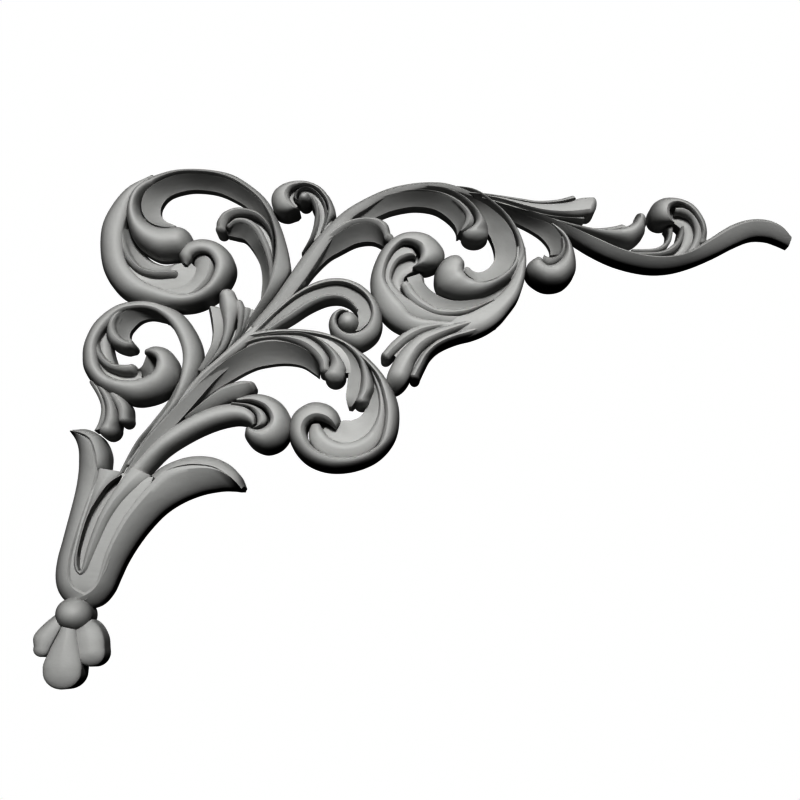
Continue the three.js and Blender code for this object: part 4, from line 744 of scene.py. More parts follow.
@dataclass
class RightScroll(CarvedGroup):
    """The scroll that rolls down on the right of the middle."""

    leaves: tuple[Leaf, ...] = (
        leaf(FALLS_RIGHT, (
            (90, 82.4, 90, 80.5, 15), (100, 82.2, 100, 79.5, 17), (108, 80.4, 107, 77, 18),
            (116, 77.4, 114, 73, 18.5), (125, 72.5, 119, 67, 18.5), (133, 65.6, 123, 60.5, 18),
            (137.5, 58.6, 125.8, 56.5, 17.5), (139.3, 50.5, 128, 50, 17),
            (138.5, 44.3, 127.8, 44.5, 16.5), (134.5, 38.3, 125, 40.3, 16),
            (127.5, 34, 121.2, 38.2, 15.5), (120.5, 32.6, 117.5, 38.5, 15),
            (115, 35.3, 114.5, 40.8, 14.5), (112.3, 38.3, 112.7, 40.5, 14),
        ), right=Edge(0.56, -0.3)),
        leaf(ROLL, (
            (101, 82.4, 101, 80.8, 10), (112, 80.9, 111, 79.6, 15.5), (120, 79, 119, 76.8, 16.5),
            (129, 72.3, 126.5, 71.2, 17), (136.8, 64.2, 133, 64.2, 17), (141.8, 54.6, 138, 54.6, 17),
            (143.8, 45.4, 138.8, 47.4, 17), (142.3, 38.3, 136, 40.8, 16), (138.5, 31, 134, 34, 13.5),
        )),
        leaf(ROLL, (
            (141.4, 50, 138.8, 50, 15), (141, 42, 137.5, 43, 17), (136.5, 34, 133, 37.8, 19),
            (129.5, 28.4, 127, 34, 20), (120.5, 23.8, 121, 33, 21), (111, 22.9, 115.5, 35, 22),
            (103.5, 25, 113, 37.4, 23), (98.5, 29, 112.3, 38.6, 23), (97.3, 35.8, 112, 39.3, 23),
            (100, 42, 112, 40, 22), (104.5, 45.6, 112.2, 40.5, 21), (109, 46.1, 112.4, 41, 19),
            (111.5, 43.4, 112.6, 41.4, 17),
        ), crest=-0.5, left=Edge(0.42, 1), right=Edge(0.8, 0.8)),
        leaf(RIDGE, (
            (143.6, 50, 141.5, 51, 13), (144, 43.4, 140.5, 45.4, 16), (143, 34.3, 138, 37.8, 16.5),
            (140, 25.3, 134, 30.8, 16.5), (135.5, 18.7, 129, 25.3, 16.5),
            (130.3, 12.6, 121, 20.2, 16.5), (124, 8, 114, 16.7, 16.5), (116, 4.5, 107, 15, 15.5),
            (108, 2.5, 101, 13.5, 13),
        ), crest=0.2, left=Edge(0.75, 0.9)),
        leaf(RIDGE, (
            (128, 24, 127, 22.4, 15.5), (116, 20, 115, 16.8, 16.5), (107, 18.8, 106, 15.3, 16.5),
            (99, 19.6, 97.6, 15.9, 16.5), (92.4, 23.4, 89.4, 19.7, 16.5), (87.7, 28, 83.4, 25, 16),
            (85, 32, 80.5, 30.3, 16),
        ), DOME),
    )


@dataclass
class RightVolute(CarvedGroup):
    """The volute inside the right scroll."""

    leaves: tuple[Leaf, ...] = (
        leaf(LEANS_RIGHT, (
            (112, 4.5, 112, 12.5, 14), (98, 5.8, 98, 13, 15), (85, 5.6, 87, 15.5, 16),
            (75, 10.2, 82, 21.5, 17.5), (68, 19, 77, 27.5, 18), (65, 30.3, 73, 33.7, 18.5),
            (66.5, 40.4, 73.5, 41, 19), (71.5, 50.5, 76.5, 47.5, 20), (79, 56.7, 81, 52.4, 21),
            (87, 58.5, 85.5, 52.6, 22), (95, 56.7, 89.5, 50.4, 23), (101, 51.1, 90.3, 47, 23),
            (102.6, 46, 89.3, 44, 23), (100, 41, 88, 42, 22), (94.5, 37.9, 87, 41.2, 20),
            (90, 37.5, 86.5, 40.5, 18), (87.5, 38.3, 86.3, 39.7, 15),
        ), crest=-0.5, left=Edge(0.5, 1), right=Edge(0.8, 0.8)),
        leaf(RIDGE, (
            (112, 10.5, 112, 15.5, 14), (100, 11.5, 100, 16.5, 15), (88.5, 13.5, 91.5, 20, 15.5),
            (79, 19.5, 84, 24.5, 16), (73, 27, 78.5, 29.5, 16), (70.2, 34, 76, 34.2, 16),
            (71, 42.3, 77, 39.2, 16), (75, 48.6, 79.5, 43.2, 16), (80.7, 51.8, 83.5, 45.4, 16),
            (86, 50.6, 86.5, 45.9, 16), (88.5, 47, 87.8, 45, 15),
        ), crest=-0.5),
        leaf(TROUGH, (
            (82, 21, 90, 23, 9), (77.5, 28, 84, 29, 9), (75.5, 33.5, 82, 34.3, 9),
            (76.5, 38.8, 84.5, 37.3, 9), (79, 43, 88, 38.3, 9), (84, 47, 92, 38, 9),
            (87, 48.5, 92, 44, 9),
        )),
        leaf(FALLS_RIGHT, (
            (136, 31, 134, 35, 11), (129, 25, 128, 31, 11.5), (122, 21, 122, 26, 12.5),
            (116, 19, 116, 23.8, 13), (107, 17.8, 107.5, 23.2, 13.5), (99, 19, 100.8, 25.2, 13.5),
            (92.5, 22.7, 95.7, 28.3, 13.5), (87.5, 27.7, 92.7, 31.8, 13.5),
            (84.5, 32.3, 92, 34.8, 13.5), (83.5, 35.3, 91, 36.8, 13),
        ), crest=-0.7, left=Edge(0.8, -0.3), right=Edge(0.7, 0.8)),
    )


@dataclass
class TailLeaf(CarvedGroup):
    """The leaf tips that hang under the right scroll."""

    leaves: tuple[Leaf, ...] = (
        leaf(FLAT, (
            (122, 9, 120, 15, 12), (106, 3.5, 105, 11, 14), (94, -2, 91, 9, 15),
            (88.5, -9, 81.5, 4, 15.5), (86, -14, 76, -4, 15.5),
        )),
        leaf(ROLL, (
            (128, 9.5, 127, 13.5, 12.5), (118, 4.6, 116, 9.5, 16), (108, 1.8, 107, 6.5, 17),
            (100, -1.8, 98.5, 2.8, 17.5), (95.3, -6, 92, -2.8, 18), (92.3, -11.5, 88, -9, 18),
            (90, -16.5, 84.8, -15, 18),
        ), SLOPED, left=Edge(0.5, 0.9), right=Edge(0.8, 0.8)),
        leaf(ROLL, (
            (126, 13.5, 125, 15.3, 12.5), (113, 8.8, 112, 12.5, 17), (102, 4.5, 101, 9.5, 18.5),
            (93, -1, 91, 6.5, 20), (88, -7.5, 83.8, 1, 21), (86, -13, 78, -5.8, 21.5),
            (84.6, -16.6, 74.8, -11.8, 21.5),
        ), End(1.8, 0.7), crest=0.1, left=Edge(0.75, 0.8), right=Edge(0.72, 0.9)),
        leaf(ROLL, (
            (108, 10.5, 108, 12, 12.5), (94, 7, 93, 11.2, 17), (85.5, 2.5, 83.5, 7.8, 18.5),
            (79, -3, 76.5, 2.5, 19), (74.8, -7.2, 71.5, -3.2, 19),
        ), SLOPED, left=Edge(0.75, 0.8), right=Edge(0.8, 0.8)),
    )


@dataclass
class RightArm(CarvedGroup):
    """The leaf ends along the top of the right arm."""

    leaves: tuple[Leaf, ...] = (
        leaf(ROLL, (
            (106, 81.6, 106, 79.8, 10), (116, 80.2, 116, 78.6, 14.5), (126, 79, 126, 77.4, 16.5),
            (140, 76.9, 140, 74.8, 17), (150, 75.4, 150, 73.2, 17.5), (160, 76, 160, 73.6, 18),
            (168, 78.1, 169.4, 75.6, 18),
        ), NIPPED, crest=-0.6, left=Edge(0.85, 0.6), right=Edge(0.8, 0.8)),
        leaf(ROLL, (
            (112, 80.9, 112, 79.4, 13), (130, 78.2, 130, 75.4, 17), (145, 75, 145, 70.8, 18),
            (155, 74, 155, 68.2, 19), (165, 74.6, 164.5, 67.2, 20), (172, 76.8, 170.5, 67, 20),
            (178.8, 77.3, 175.5, 67.8, 20),
        ), End(0.6, 0.1), crest=-0.5, left=Edge(0.82, 0.6), right=Edge(0.8, 0.8)),
        leaf(RIDGE, (
            (122, 77.6, 122, 76, 15), (140, 72.4, 140, 70.3, 16), (155, 68.4, 155, 66.7, 16.5),
            (165, 67.3, 165, 65.5, 16.5), (173.6, 67.6, 173.6, 64.6, 16),
        ), crest=-0.5, left=Edge(0.85, 0.6)),
        leaf(RIDGE, (
            (158, 66.4, 158, 64.6, 15), (170, 62.7, 170, 60.6, 16), (180, 61, 180, 58.8, 16.5),
            (188, 61.8, 189, 59.2, 17), (192.8, 63, 196, 60.4, 16),
        ), crest=-0.5, left=Edge(0.85, 0.6)),
        leaf(ROLL, (
            (156, 65, 156, 62.5, 15), (172, 60.6, 172, 57.5, 17), (182, 59.1, 181, 54.5, 18),
            (191, 59.6, 189, 52.3, 19), (197, 62.3, 197, 51.4, 19.5), (199.5, 65.5, 203.3, 56.5, 19.5),
            (200, 67.2, 204.3, 61.2, 19),
        ), End(0.7, 0), crest=0.2),
    )


@dataclass
class ForkVolute(CarvedGroup):
    """The volute in the fork of the right arm."""

    leaves: tuple[Leaf, ...] = (
        leaf(FALLS_RIGHT, (
            (128, 74, 129, 71, 14), (133, 72, 133, 67.6, 14.5), (140.5, 69, 138.5, 64.1, 14.5),
            (148.5, 66.1, 146, 60.1, 14.5), (156, 63.4, 151.5, 56.3, 14.5),
            (161, 58.6, 155, 52.2, 14.5), (163, 52.8, 156.3, 49, 14.5), (161.6, 47.3, 156.2, 46.9, 14),
        )),
        leaf(RIDGE, (
            (163.3, 57, 162, 55, 16), (164.4, 51.4, 162, 50.5, 16.5), (163, 46.2, 160.6, 47.3, 16.5),
            (159.2, 42.8, 157.8, 45.8, 16.5), (155, 41.7, 155, 45.8, 16.5), (151.8, 43.4, 153, 47, 16),
        ), crest=-0.5, left=Edge(0.8, 0.6)),
        leaf(ROLL, (
            (157, 63.2, 157, 61.7, 15), (163.3, 58, 162.3, 56, 17), (167, 51.6, 164, 51, 19),
            (168.9, 43.2, 162.8, 46.4, 21), (168, 36.5, 159.5, 42.9, 22),
            (162.2, 30.3, 156.5, 41.7, 23), (154, 29, 154.5, 41.9, 23.5),
            (147.3, 32.2, 153.5, 42.4, 23.5), (143.8, 36.7, 153, 42.9, 23),
            (144.5, 41.5, 152.5, 43.2, 22), (148.5, 44.6, 152.3, 43.6, 19),
        ), crest=-0.4, left=Edge(0.42, 1), right=Edge(0.75, 0.8)),
    )


@dataclass
class ArmTail(CarvedGroup):
    """The long tip of the right arm."""

    leaves: tuple[Leaf, ...] = (
        leaf(LEANS_RIGHT, (
            (118, 79.5, 118, 77, 15), (128, 76.5, 128, 74, 16), (140, 72, 139, 69.5, 16.5),
            (155, 66.5, 153, 63.5, 17.5), (168, 61, 163.5, 58, 18.5), (180, 55.7, 176.5, 49.6, 19),
            (192, 50.3, 189.5, 43.4, 19.5), (205, 46.8, 204, 39.7, 19.5), (216, 46.3, 216, 39.5, 19),
            (226, 48.5, 227.5, 42.2, 18.5), (237, 55.3, 240, 47.4, 18), (248, 62.2, 251, 53, 17),
            (258, 65.3, 259.5, 56.2, 16), (267, 65, 267, 56, 15), (274, 61.8, 272.5, 54, 14),
            (278.6, 56.2, 277.2, 51.4, 12),
        ), crest=0.55, left=Edge(0.75, 0.9), right=Edge(0.62, 0.4)),
    )


@dataclass
class ArmVolute(CarvedGroup):
    """The volute on the tip of the right arm."""

    leaves: tuple[Leaf, ...] = (
        leaf(ROLL, (
            (231.5, 52.8, 235.3, 54.2, 15), (233, 58.8, 235.5, 58.8, 17),
            (231.8, 63.7, 234.2, 64.2, 18), (228.6, 68.9, 230.6, 70, 19), (224.4, 72, 226.2, 73.5, 20),
            (220.7, 73, 219.6, 75.5, 21), (218, 71.6, 213.3, 75.6, 22), (217.5, 69.7, 208.6, 72.9, 23),
            (217.8, 67.7, 206.6, 67.7, 23), (218.5, 65.7, 208, 62.9, 22), (219, 64.1, 212, 60.7, 20),
            (219.5, 63.4, 217, 61.1, 17),
        ), crest=0.5, left=Edge(0.8, 0.8), right=Edge(0.42, 1)),
        leaf(RIDGE, (
            (225, 48, 232, 51, 14.5), (228.5, 53.6, 233.8, 56.6, 15), (229.7, 59.7, 233.6, 63.2, 15.5),
            (227.8, 65.6, 230.8, 69, 16), (223.7, 68.2, 225.5, 72.2, 16.5),
            (219.8, 68.6, 220, 71.8, 16.5),
        )),
        leaf(TROUGH, (
            (212, 46, 224, 47, 9), (218, 48.8, 228, 52, 9), (222, 54.6, 231, 58, 9),
            (222.5, 60.6, 229, 66, 9), (218, 64, 222, 71, 9), (214, 64, 213, 71, 9),
        )),
        leaf(RIDGE, (
            (195, 48.6, 195, 46.5, 15), (205, 48.4, 205, 45.8, 15), (212, 49, 213, 46.3, 15),
            (217, 51.2, 219, 48.6, 15), (220.5, 54.7, 223, 53, 15), (222, 58.7, 224.7, 58.6, 15),
            (222.5, 61.2, 224.2, 61.7, 14.5),
        )),
        leaf(RIDGE, (
            (198, 50, 198, 48, 13.5), (208, 50.2, 208, 48, 13.5), (213, 52.1, 214, 49.8, 13.5),
            (215.5, 55.2, 217.3, 53.5, 13.5), (216.2, 58.7, 218.5, 57.8, 13.5),
            (215, 61, 219, 61.5, 13.5),
        )),
    )


@dataclass
class HeartVolute(CarvedGroup):
    """The volute with a ball at its eye, right of the heart."""

    leaves: tuple[Leaf, ...] = (
        leaf(FALLS_RIGHT, (
            (1, 2, 4, -2, 13), (12, 12.3, 17, 8, 13.5), (22, 22, 26, 13.2, 14),
            (31, 27.9, 34, 18.6, 14), (40, 31.5, 42, 22.4, 14), (49, 32.3, 48.5, 23.2, 14),
            (57.3, 29.9, 54, 21.3, 14), (63.4, 24.3, 57.5, 18.2, 14), (65.8, 18.2, 59, 14.6, 14),
            (64.4, 12.1, 58, 10, 14), (60.2, 7.8, 55.5, 7.5, 14),
        ), right=Edge(0.78, -0.2)),
        leaf(ROLL, (
            (12, 8.5, 16, 7, 14), (25, 17.6, 26, 13.2, 16), (33, 23, 34, 18.6, 16.5),
            (42, 26.4, 42, 22.4, 17), (49, 26.6, 48.5, 23.2, 16.5), (55, 23.9, 54, 21.3, 15.5),
            (59, 18.7, 58, 17.2, 14),
        ), left=Edge(0.75, 0.6), right=Edge(0.7, 0.9)),
        leaf(ROLL, (
            (6, 8, 7.5, 6, 15), (20, 20.9, 21, 19.3, 17), (30, 28.6, 31, 26.8, 17.5),
            (40, 33.4, 41, 31, 18), (50, 34.5, 50, 31.9, 18), (59.2, 31.7, 57.5, 29.3, 18.5),
            (66.3, 25.5, 63, 24.5, 18.5), (70.3, 17.8, 65.4, 18.5, 19), (70.9, 10.2, 64.5, 12.6, 19),
            (67.7, 3.3, 61, 8.3, 19.5), (60, -1.5, 56.5, 6.6, 19.5), (51.8, 0.6, 52.5, 7, 19),
            (46.3, 4.9, 49.5, 9.3, 18.5), (44.1, 10.5, 48, 12.5, 18), (45.8, 16, 48.7, 15.7, 17),
            (50, 18.7, 51, 17.4, 16), (54, 17.9, 53.5, 16.9, 15),
        ), crest=-0.5, left=Edge(0.6, 0.9), right=Edge(0.82, 0.8)),
    )


@dataclass
class TopVolute(CarvedGroup):
    """The small volute that stands under the long leaf."""

    leaves: tuple[Leaf, ...] = (
        leaf(ROLL, (
            (40.5, 58.2, 45.5, 64.8, 14), (43, 67, 47.3, 68, 16), (43, 72.7, 46, 73.2, 17),
            (40.8, 77.4, 43.3, 78, 18), (37.4, 81, 39.2, 82.2, 18.5), (32.8, 83, 33.3, 84.8, 19.5),
            (28.5, 82.8, 26.3, 85.2, 20.5), (25, 81.4, 19.8, 83.4, 21.5), (23.5, 79, 15.4, 79.5, 22.5),
            (23.8, 76.4, 14.5, 74.4, 23), (25.5, 73.8, 16.8, 69, 23), (27.5, 71.8, 22, 66.9, 22),
            (28.8, 70.8, 27.7, 68, 19),
        ), crest=0.5, left=Edge(0.82, 0.8), right=Edge(0.6, 0.9)),
        leaf(RIDGE, (
            (39.5, 58.7, 41, 58.7, 14), (41.5, 66, 43, 66, 16), (41, 72, 42.5, 73, 17),
            (38.5, 77, 39.8, 78, 17.5), (34.5, 80.6, 35.3, 81.9, 18), (30.5, 81.2, 30.3, 82.5, 18),
            (27.7, 79, 26.6, 79.8, 18), (27.5, 76.2, 26.2, 75.8, 18), (29.5, 75, 29.3, 73.8, 17.5),
        )),
        leaf(ROLL, (
            (30.3, 46.4, 31.8, 47, 14), (33.8, 53.7, 37, 54.5, 15.5), (36, 60.8, 39.5, 60.8, 16),
            (36.6, 67, 40, 67.5, 16), (35.4, 71, 39, 73, 15.5), (34, 74, 37, 77, 15),
        )),
        leaf(FLAT, (
            (36, 54.5, 40.5, 57.5, 12), (38.5, 63, 42.5, 63, 13), (39, 69, 42.3, 70, 14),
            (36.5, 75, 40.5, 76.5, 14), (32.5, 78.5, 35, 82, 14), (28, 79, 26, 82, 14),
            (25.5, 76.5, 22.5, 77.5, 14), (28, 72.5, 25, 70, 14),
        )),
    )


@dataclass
class BigLeaf(CarvedGroup):
    """The broad leaf that lies to the right below the stems."""

    leaves: tuple[Leaf, ...] = (
        leaf(FLAT, (
            (0, 3, 3, -1, 13), (12, 6.8, 14, 1.5, 15), (25, 7.2, 24, 0.5, 15.5),
            (36, 5.8, 33, -1.5, 15.5), (46, 2.5, 40.5, -5, 15.5), (55, -4.5, 46, -9, 15),
            (59, -14, 51, -14, 14),
        )),
        leaf(FALLS_RIGHT, (
            (-50, -50, -42, -54, 14), (-37, -35.5, -32, -41, 15.5), (-22, -20.5, -21, -29.5, 17),
            (-9, -8.5, -9.5, -20.8, 17.5), (3, -0.6, 5, -12.4, 17), (12, 2.4, 14, -9.8, 17),
            (22, 2.3, 23, -9, 17), (30, -0.3, 31, -10.3, 16.5), (36, -4.5, 37, -14, 16),
            (39.5, -11, 39.5, -16, 14),
        )),
        leaf(ROLL, (
            (-6, -3.5, -5, -5.5, 13), (4, 2.8, 5, 0.6, 16), (14, 5, 14, 2.4, 17),
            (24, 5.6, 22, 2, 18.5), (33, 4.2, 30, -0.9, 19.5), (39.7, 0, 35.5, -5, 20),
            (44, -6, 38.9, -9.5, 20.5), (44.5, -11, 39.8, -13.6, 20.5),
        ), DOME, left=Edge(0.8, 0.8), right=Edge(0.7, 0.8)),
        leaf(ROLL, (
            (5, 4.3, 6, 3, 14), (18, 6.4, 18, 4.8, 17), (31, 6.4, 31, 4.8, 18),
            (41, 2.8, 38.5, 1.2, 20), (48.5, -3.6, 43.8, -4.5, 21.5), (52.6, -10.5, 45, -9.5, 22),
            (52.5, -14, 42, -14.5, 22.5),
        ), DOME, left=Edge(0.75, 0.8), right=Edge(0.7, 0.8)),
        leaf(FALLS_RIGHT, (
            (34, 6, 34, 4.8, 15), (47, 2.6, 45, 0.6, 16), (56, -4, 51, -4, 17),
            (60.3, -12.5, 54, -11.5, 17), (60.5, -20, 53.5, -20.5, 17), (58.8, -27, 53, -26, 17),
            (56, -31, 54.3, -31, 16),
        ), right=Edge(0.8, -0.4)),
        leaf(ROLL, (
            (48, 2.8, 48, 1.8, 16), (59.5, -4.3, 57.5, -7, 18), (65, -13, 60, -14.5, 20),
            (67.4, -22, 59.3, -23, 21), (65, -28.5, 57, -29, 21),
        ), BLUNT, crest=0.1),
    )


@dataclass
class LeafCurl(CarvedGroup):
    """The strand that frames the broad leaf and curls back under it."""

    leaves: tuple[Leaf, ...] = (
        leaf(FLAT, (
            (46, -52, 36, -44, 10), (48, -44, 38, -38, 10), (47.5, -41.5, 43, -37.5, 10),
        )),
        leaf(ROLL, (
            (-10, -5.5, -8.5, -7.5, 13), (0, 4, 1.5, 2, 15.5), (10, 6.9, 10, 5, 16),
            (25, 8, 25, 6.2, 17), (40, 6.6, 40, 4.6, 17), (52, 2.2, 51.2, 0.5, 17.5),
            (62, -4.8, 60, -6.5, 18), (71, -14.3, 68, -15.5, 18.5), (77.5, -25, 71.3, -26, 19),
            (79.7, -36, 72.3, -37, 19), (77.2, -48, 69.3, -49.5, 19.5), (69, -57.6, 61.5, -54.5, 20),
            (57, -62.7, 53.5, -56.3, 20.5), (44.5, -63.4, 44.5, -55.2, 21),
            (34, -59.6, 37.5, -51.6, 22), (27, -52.2, 34, -46.5, 23), (24.6, -43.5, 33, -42.5, 23),
            (27.2, -34.6, 34.5, -39.2, 23), (35, -29.3, 38, -37.4, 23), (43, -29.7, 42, -38, 22.5),
            (48.5, -33.7, 45, -39.7, 21.5), (50.6, -39, 47, -41.7, 19), (49, -42, 48, -42.6, 16),
        ), crest=-0.5, left=Edge(0.42, 1), right=Edge(0.78, 0.8)),
        leaf(RIDGE, (
            (66, -11, 65, -12, 15), (71.8, -24, 69, -25, 16), (72.8, -36, 68.5, -36, 16.5),
            (69.5, -49, 63.5, -44.5, 17), (60.5, -56, 56.5, -48.5, 17.5),
            (49.5, -57.5, 50, -48.8, 17.5), (41, -54.8, 44.5, -46.2, 17.5), (35.8, -49.7, 42, -43, 17),
            (34.5, -44.5, 41, -41.3, 17), (35.5, -40, 40, -39.6, 16.5),
        ), crest=-0.35),
        leaf(FALLS_RIGHT, (
            (69, -18, 66, -24, 14), (70.3, -29, 61.5, -34.3, 14.5), (67, -42, 56.5, -37.6, 14.5),
            (59.5, -48.8, 51, -38, 14.5), (51, -49.8, 49.3, -40.5, 14.5), (44.5, -47.5, 46, -41, 14.5),
            (41.2, -43.5, 43.5, -40, 14),
        ), right=Edge(0.8, -0.4)),
    )


@dataclass
class SpadeAndKnob(CarvedGroup):
    """The spade leaf and the comma-shaped knob inside the curl."""

    leaves: tuple[Leaf, ...] = (
        leaf(FLAT, (
            (2, -27, 2, -33, 10), (10, -28, 7, -35, 10), (16, -33, 9, -38, 10), (15, -40, 9, -40, 10),
        )),
        leaf(LEANS_RIGHT, (
            (-27, -36, -26, -38.5, 14), (-16, -26.3, -17, -34, 16), (-8, -20.6, -8, -29.5, 17),
            (0, -18.1, 1, -26.8, 18), (5, -18.3, 6, -23.8, 18),
        ), BLUNT),
        leaf(ROLL, (
            (-55, -61.5, -44, -64.5, 15), (-41, -47.3, -35, -55, 17), (-29, -38.5, -23, -47.3, 17),
            (-16, -32, -12, -42.3, 17), (-5, -29.5, -3, -40, 17), (3, -30.5, 2, -40, 17),
            (8.5, -35, 5, -41, 16.5), (9, -40, 6.5, -42, 15),
        )),
        leaf(RIDGE, (
            (-4, -28.6, -4, -30, 16), (5, -29.6, 4, -31.5, 17.5), (11.2, -32.6, 7.6, -34.4, 18),
            (13.8, -37, 8.6, -37.5, 18.5), (12.2, -40.4, 8.4, -40.2, 18), (7, -42.2, 6.5, -41.7, 15),
        )),
        leaf(ROLL, (
            (-1, -27.2, -1, -28.5, 15), (7, -24.9, 6, -28.8, 18), (14.7, -25.9, 12, -31.5, 20),
            (21.3, -29.9, 14.6, -35.3, 22), (25.5, -37, 14.9, -38.3, 23), (25.5, -45, 13, -40.8, 23.5),
            (21.2, -51.6, 10.5, -42, 23.5), (14, -54.3, 9, -42.3, 23), (7.3, -51.9, 7.5, -42.2, 22),
            (3.2, -47, 6.3, -41.9, 21), (3.3, -42.8, 5.5, -41.5, 18),
        ), crest=-0.5, left=Edge(0.42, 1), right=Edge(0.8, 0.8)),
    )


@dataclass
class Calyx(CarvedGroup):
    """The two-leaved calyx of the lower arm."""

    leaves: tuple[Leaf, ...] = (
        leaf(FLAT, (
            (-80.5, -125, -74, -127, 15.5), (-82.5, -120, -70, -121, 17.6),
            (-83.5, -112, -65, -113.5, 18.3), (-82.5, -100, -61, -101.5, 18.7),
            (-79, -88, -55, -90, 18.9), (-76, -76, -49, -78, 18.9), (-72, -66.5, -44, -70, 18.5),
            (-68, -62.8, -42.3, -66.3, 17.5),
        ), start=None, left=Edge(0.97, 0.3), right=Edge(1.04, 0.9)),
        leaf(ROLL, (
            (-81, -130, -74, -123.5, 17.5), (-85.5, -125.5, -79, -121, 18.5),
            (-88, -121, -81.5, -117.5, 19), (-89, -115, -82.3, -111.5, 19.3),
            (-88.3, -107, -81.5, -104.5, 19.3), (-86.3, -98.5, -79.5, -96.5, 19.3),
            (-84.2, -89.5, -77, -88, 19), (-82, -80, -74, -79, 19), (-80.4, -72, -71.3, -71, 19),
            (-79.5, -65, -70, -64.5, 19.5), (-79.3, -59, -71, -59, 20),
            (-79.7, -52.5, -72.3, -53, 20.5), (-81.3, -47.7, -75, -47, 20),
            (-84, -43.7, -83.4, -43.2, 17),
        ), start=None, crest=-0.75, left=Edge(0.5, 0.8), right=Edge(0.95, 0.3)),
        leaf(ROLL, (
            (-71.5, -66, -65, -65, 15), (-71, -61, -64.3, -61, 19.5), (-72.1, -53.5, -64.5, -54, 20.5),
            (-74.8, -47.2, -68.3, -46.5, 20.5), (-79, -44.6, -75, -42.7, 19.5),
            (-83.3, -43.5, -82, -43, 17.5),
        ), start=None, crest=0.75, left=Edge(0.97, 0.3), right=Edge(0.5, 0.9)),
        leaf(ROLL, (
            (-69.6, -61.8, -57.5, -63.8, 19.5), (-70.8, -68, -62.8, -69.3, 20),
            (-73.3, -77, -69, -77, 20), (-76.3, -87, -73, -86, 19.8), (-78.8, -97, -76.3, -97, 19.6),
            (-80.4, -106, -78.3, -106, 19.5), (-80, -111.5, -78, -111, 19.4),
            (-77, -115, -77, -112.4, 19.4), (-73.7, -112.5, -76.3, -110.8, 19.7),
            (-71, -106, -75, -104.5, 20.2), (-68, -98, -72.3, -95, 20.8),
            (-63.5, -87.5, -68.5, -85, 21.2), (-57.5, -78.5, -63, -75, 21.2),
            (-50, -71, -57, -66, 20.8), (-43.3, -65.5, -53.5, -61.3, 19.5),
        ), start=None, left=Edge(0.88, 0.5), right=Edge(0.9, 0.7)),
        leaf(ROLL, (
            (-80, -125, -74, -131.5, 16.5), (-73.5, -122.3, -66.5, -128.7, 18),
            (-69.3, -118, -61.5, -123, 19), (-67, -111, -58.3, -115.7, 19.5),
            (-65, -104, -55.2, -108.5, 20), (-61.5, -95.5, -50.5, -100.3, 20.3),
            (-56.5, -86, -44.5, -92, 20.5), (-50, -77, -37, -84, 20.5),
            (-43, -68.5, -28.5, -78.3, 20.5), (-37, -62.8, -19, -74.4, 20.7),
            (-27, -59.8, -9.5, -72.5, 21), (-15, -60, -3, -72.4, 21), (-5, -65, 0.5, -72.8, 20.5),
            (1.3, -71, 3, -72.8, 18),
        ), start=None, crest=0.6, left=Edge(0.945, 0.5), right=Edge(0.5, 0.55)),
        leaf(FALLS_LEFT, (
            (-44, -66, -42, -67, 17), (-38.5, -61.5, -36, -63, 20), (-32, -58.3, -30, -60.8, 21),
            (-25, -56.2, -24, -59.8, 21.5), (-18, -55.8, -18.5, -60, 21.5), (-11, -57, -13, -61, 21.5),
            (-4, -60.6, -7, -64.2, 21), (0.8, -65.6, -2, -68.2, 20.5), (3.2, -71, 1.5, -72.2, 18),
        ), left=Edge(0.66, 0.6), right=Edge(1, 0)),
    )


@dataclass
class Shell(CarvedGroup):
    """The three shell petals under the ball."""

    leaves: tuple[Leaf, ...] = (
        leaf(ROLL, (
            (-74, -134, -79, -131, 14), (-68, -138, -79, -139.5, 17), (-64.6, -144, -78.5, -146, 18.5),
            (-63.8, -150.5, -77.6, -153.5, 19),
        ), DOME, left=Edge(0.8, 0.8), right=Edge(0.85, 0.8)),
        leaf(ROLL, (
            (-80, -131, -88, -133.5, 14), (-85, -139, -94.5, -139, 17),
            (-88.8, -146, -98.8, -144.3, 18.5), (-91.5, -152, -98.6, -149.5, 18.5),
        ), BLUNT, left=Edge(0.88, 0.8), right=Edge(0.8, 0.8)),
        leaf(ROLL, (
            (-78, -134, -84, -134, 16), (-77.7, -142, -86.3, -141.5, 19),
            (-76.5, -150, -90, -149, 20.5), (-75, -158, -93.6, -157.5, 21.5),
            (-75, -161.5, -93.8, -161.5, 21.5),
        ), BLUNT, left=Edge(0.82, 0.8), right=Edge(0.82, 0.8)),
    )


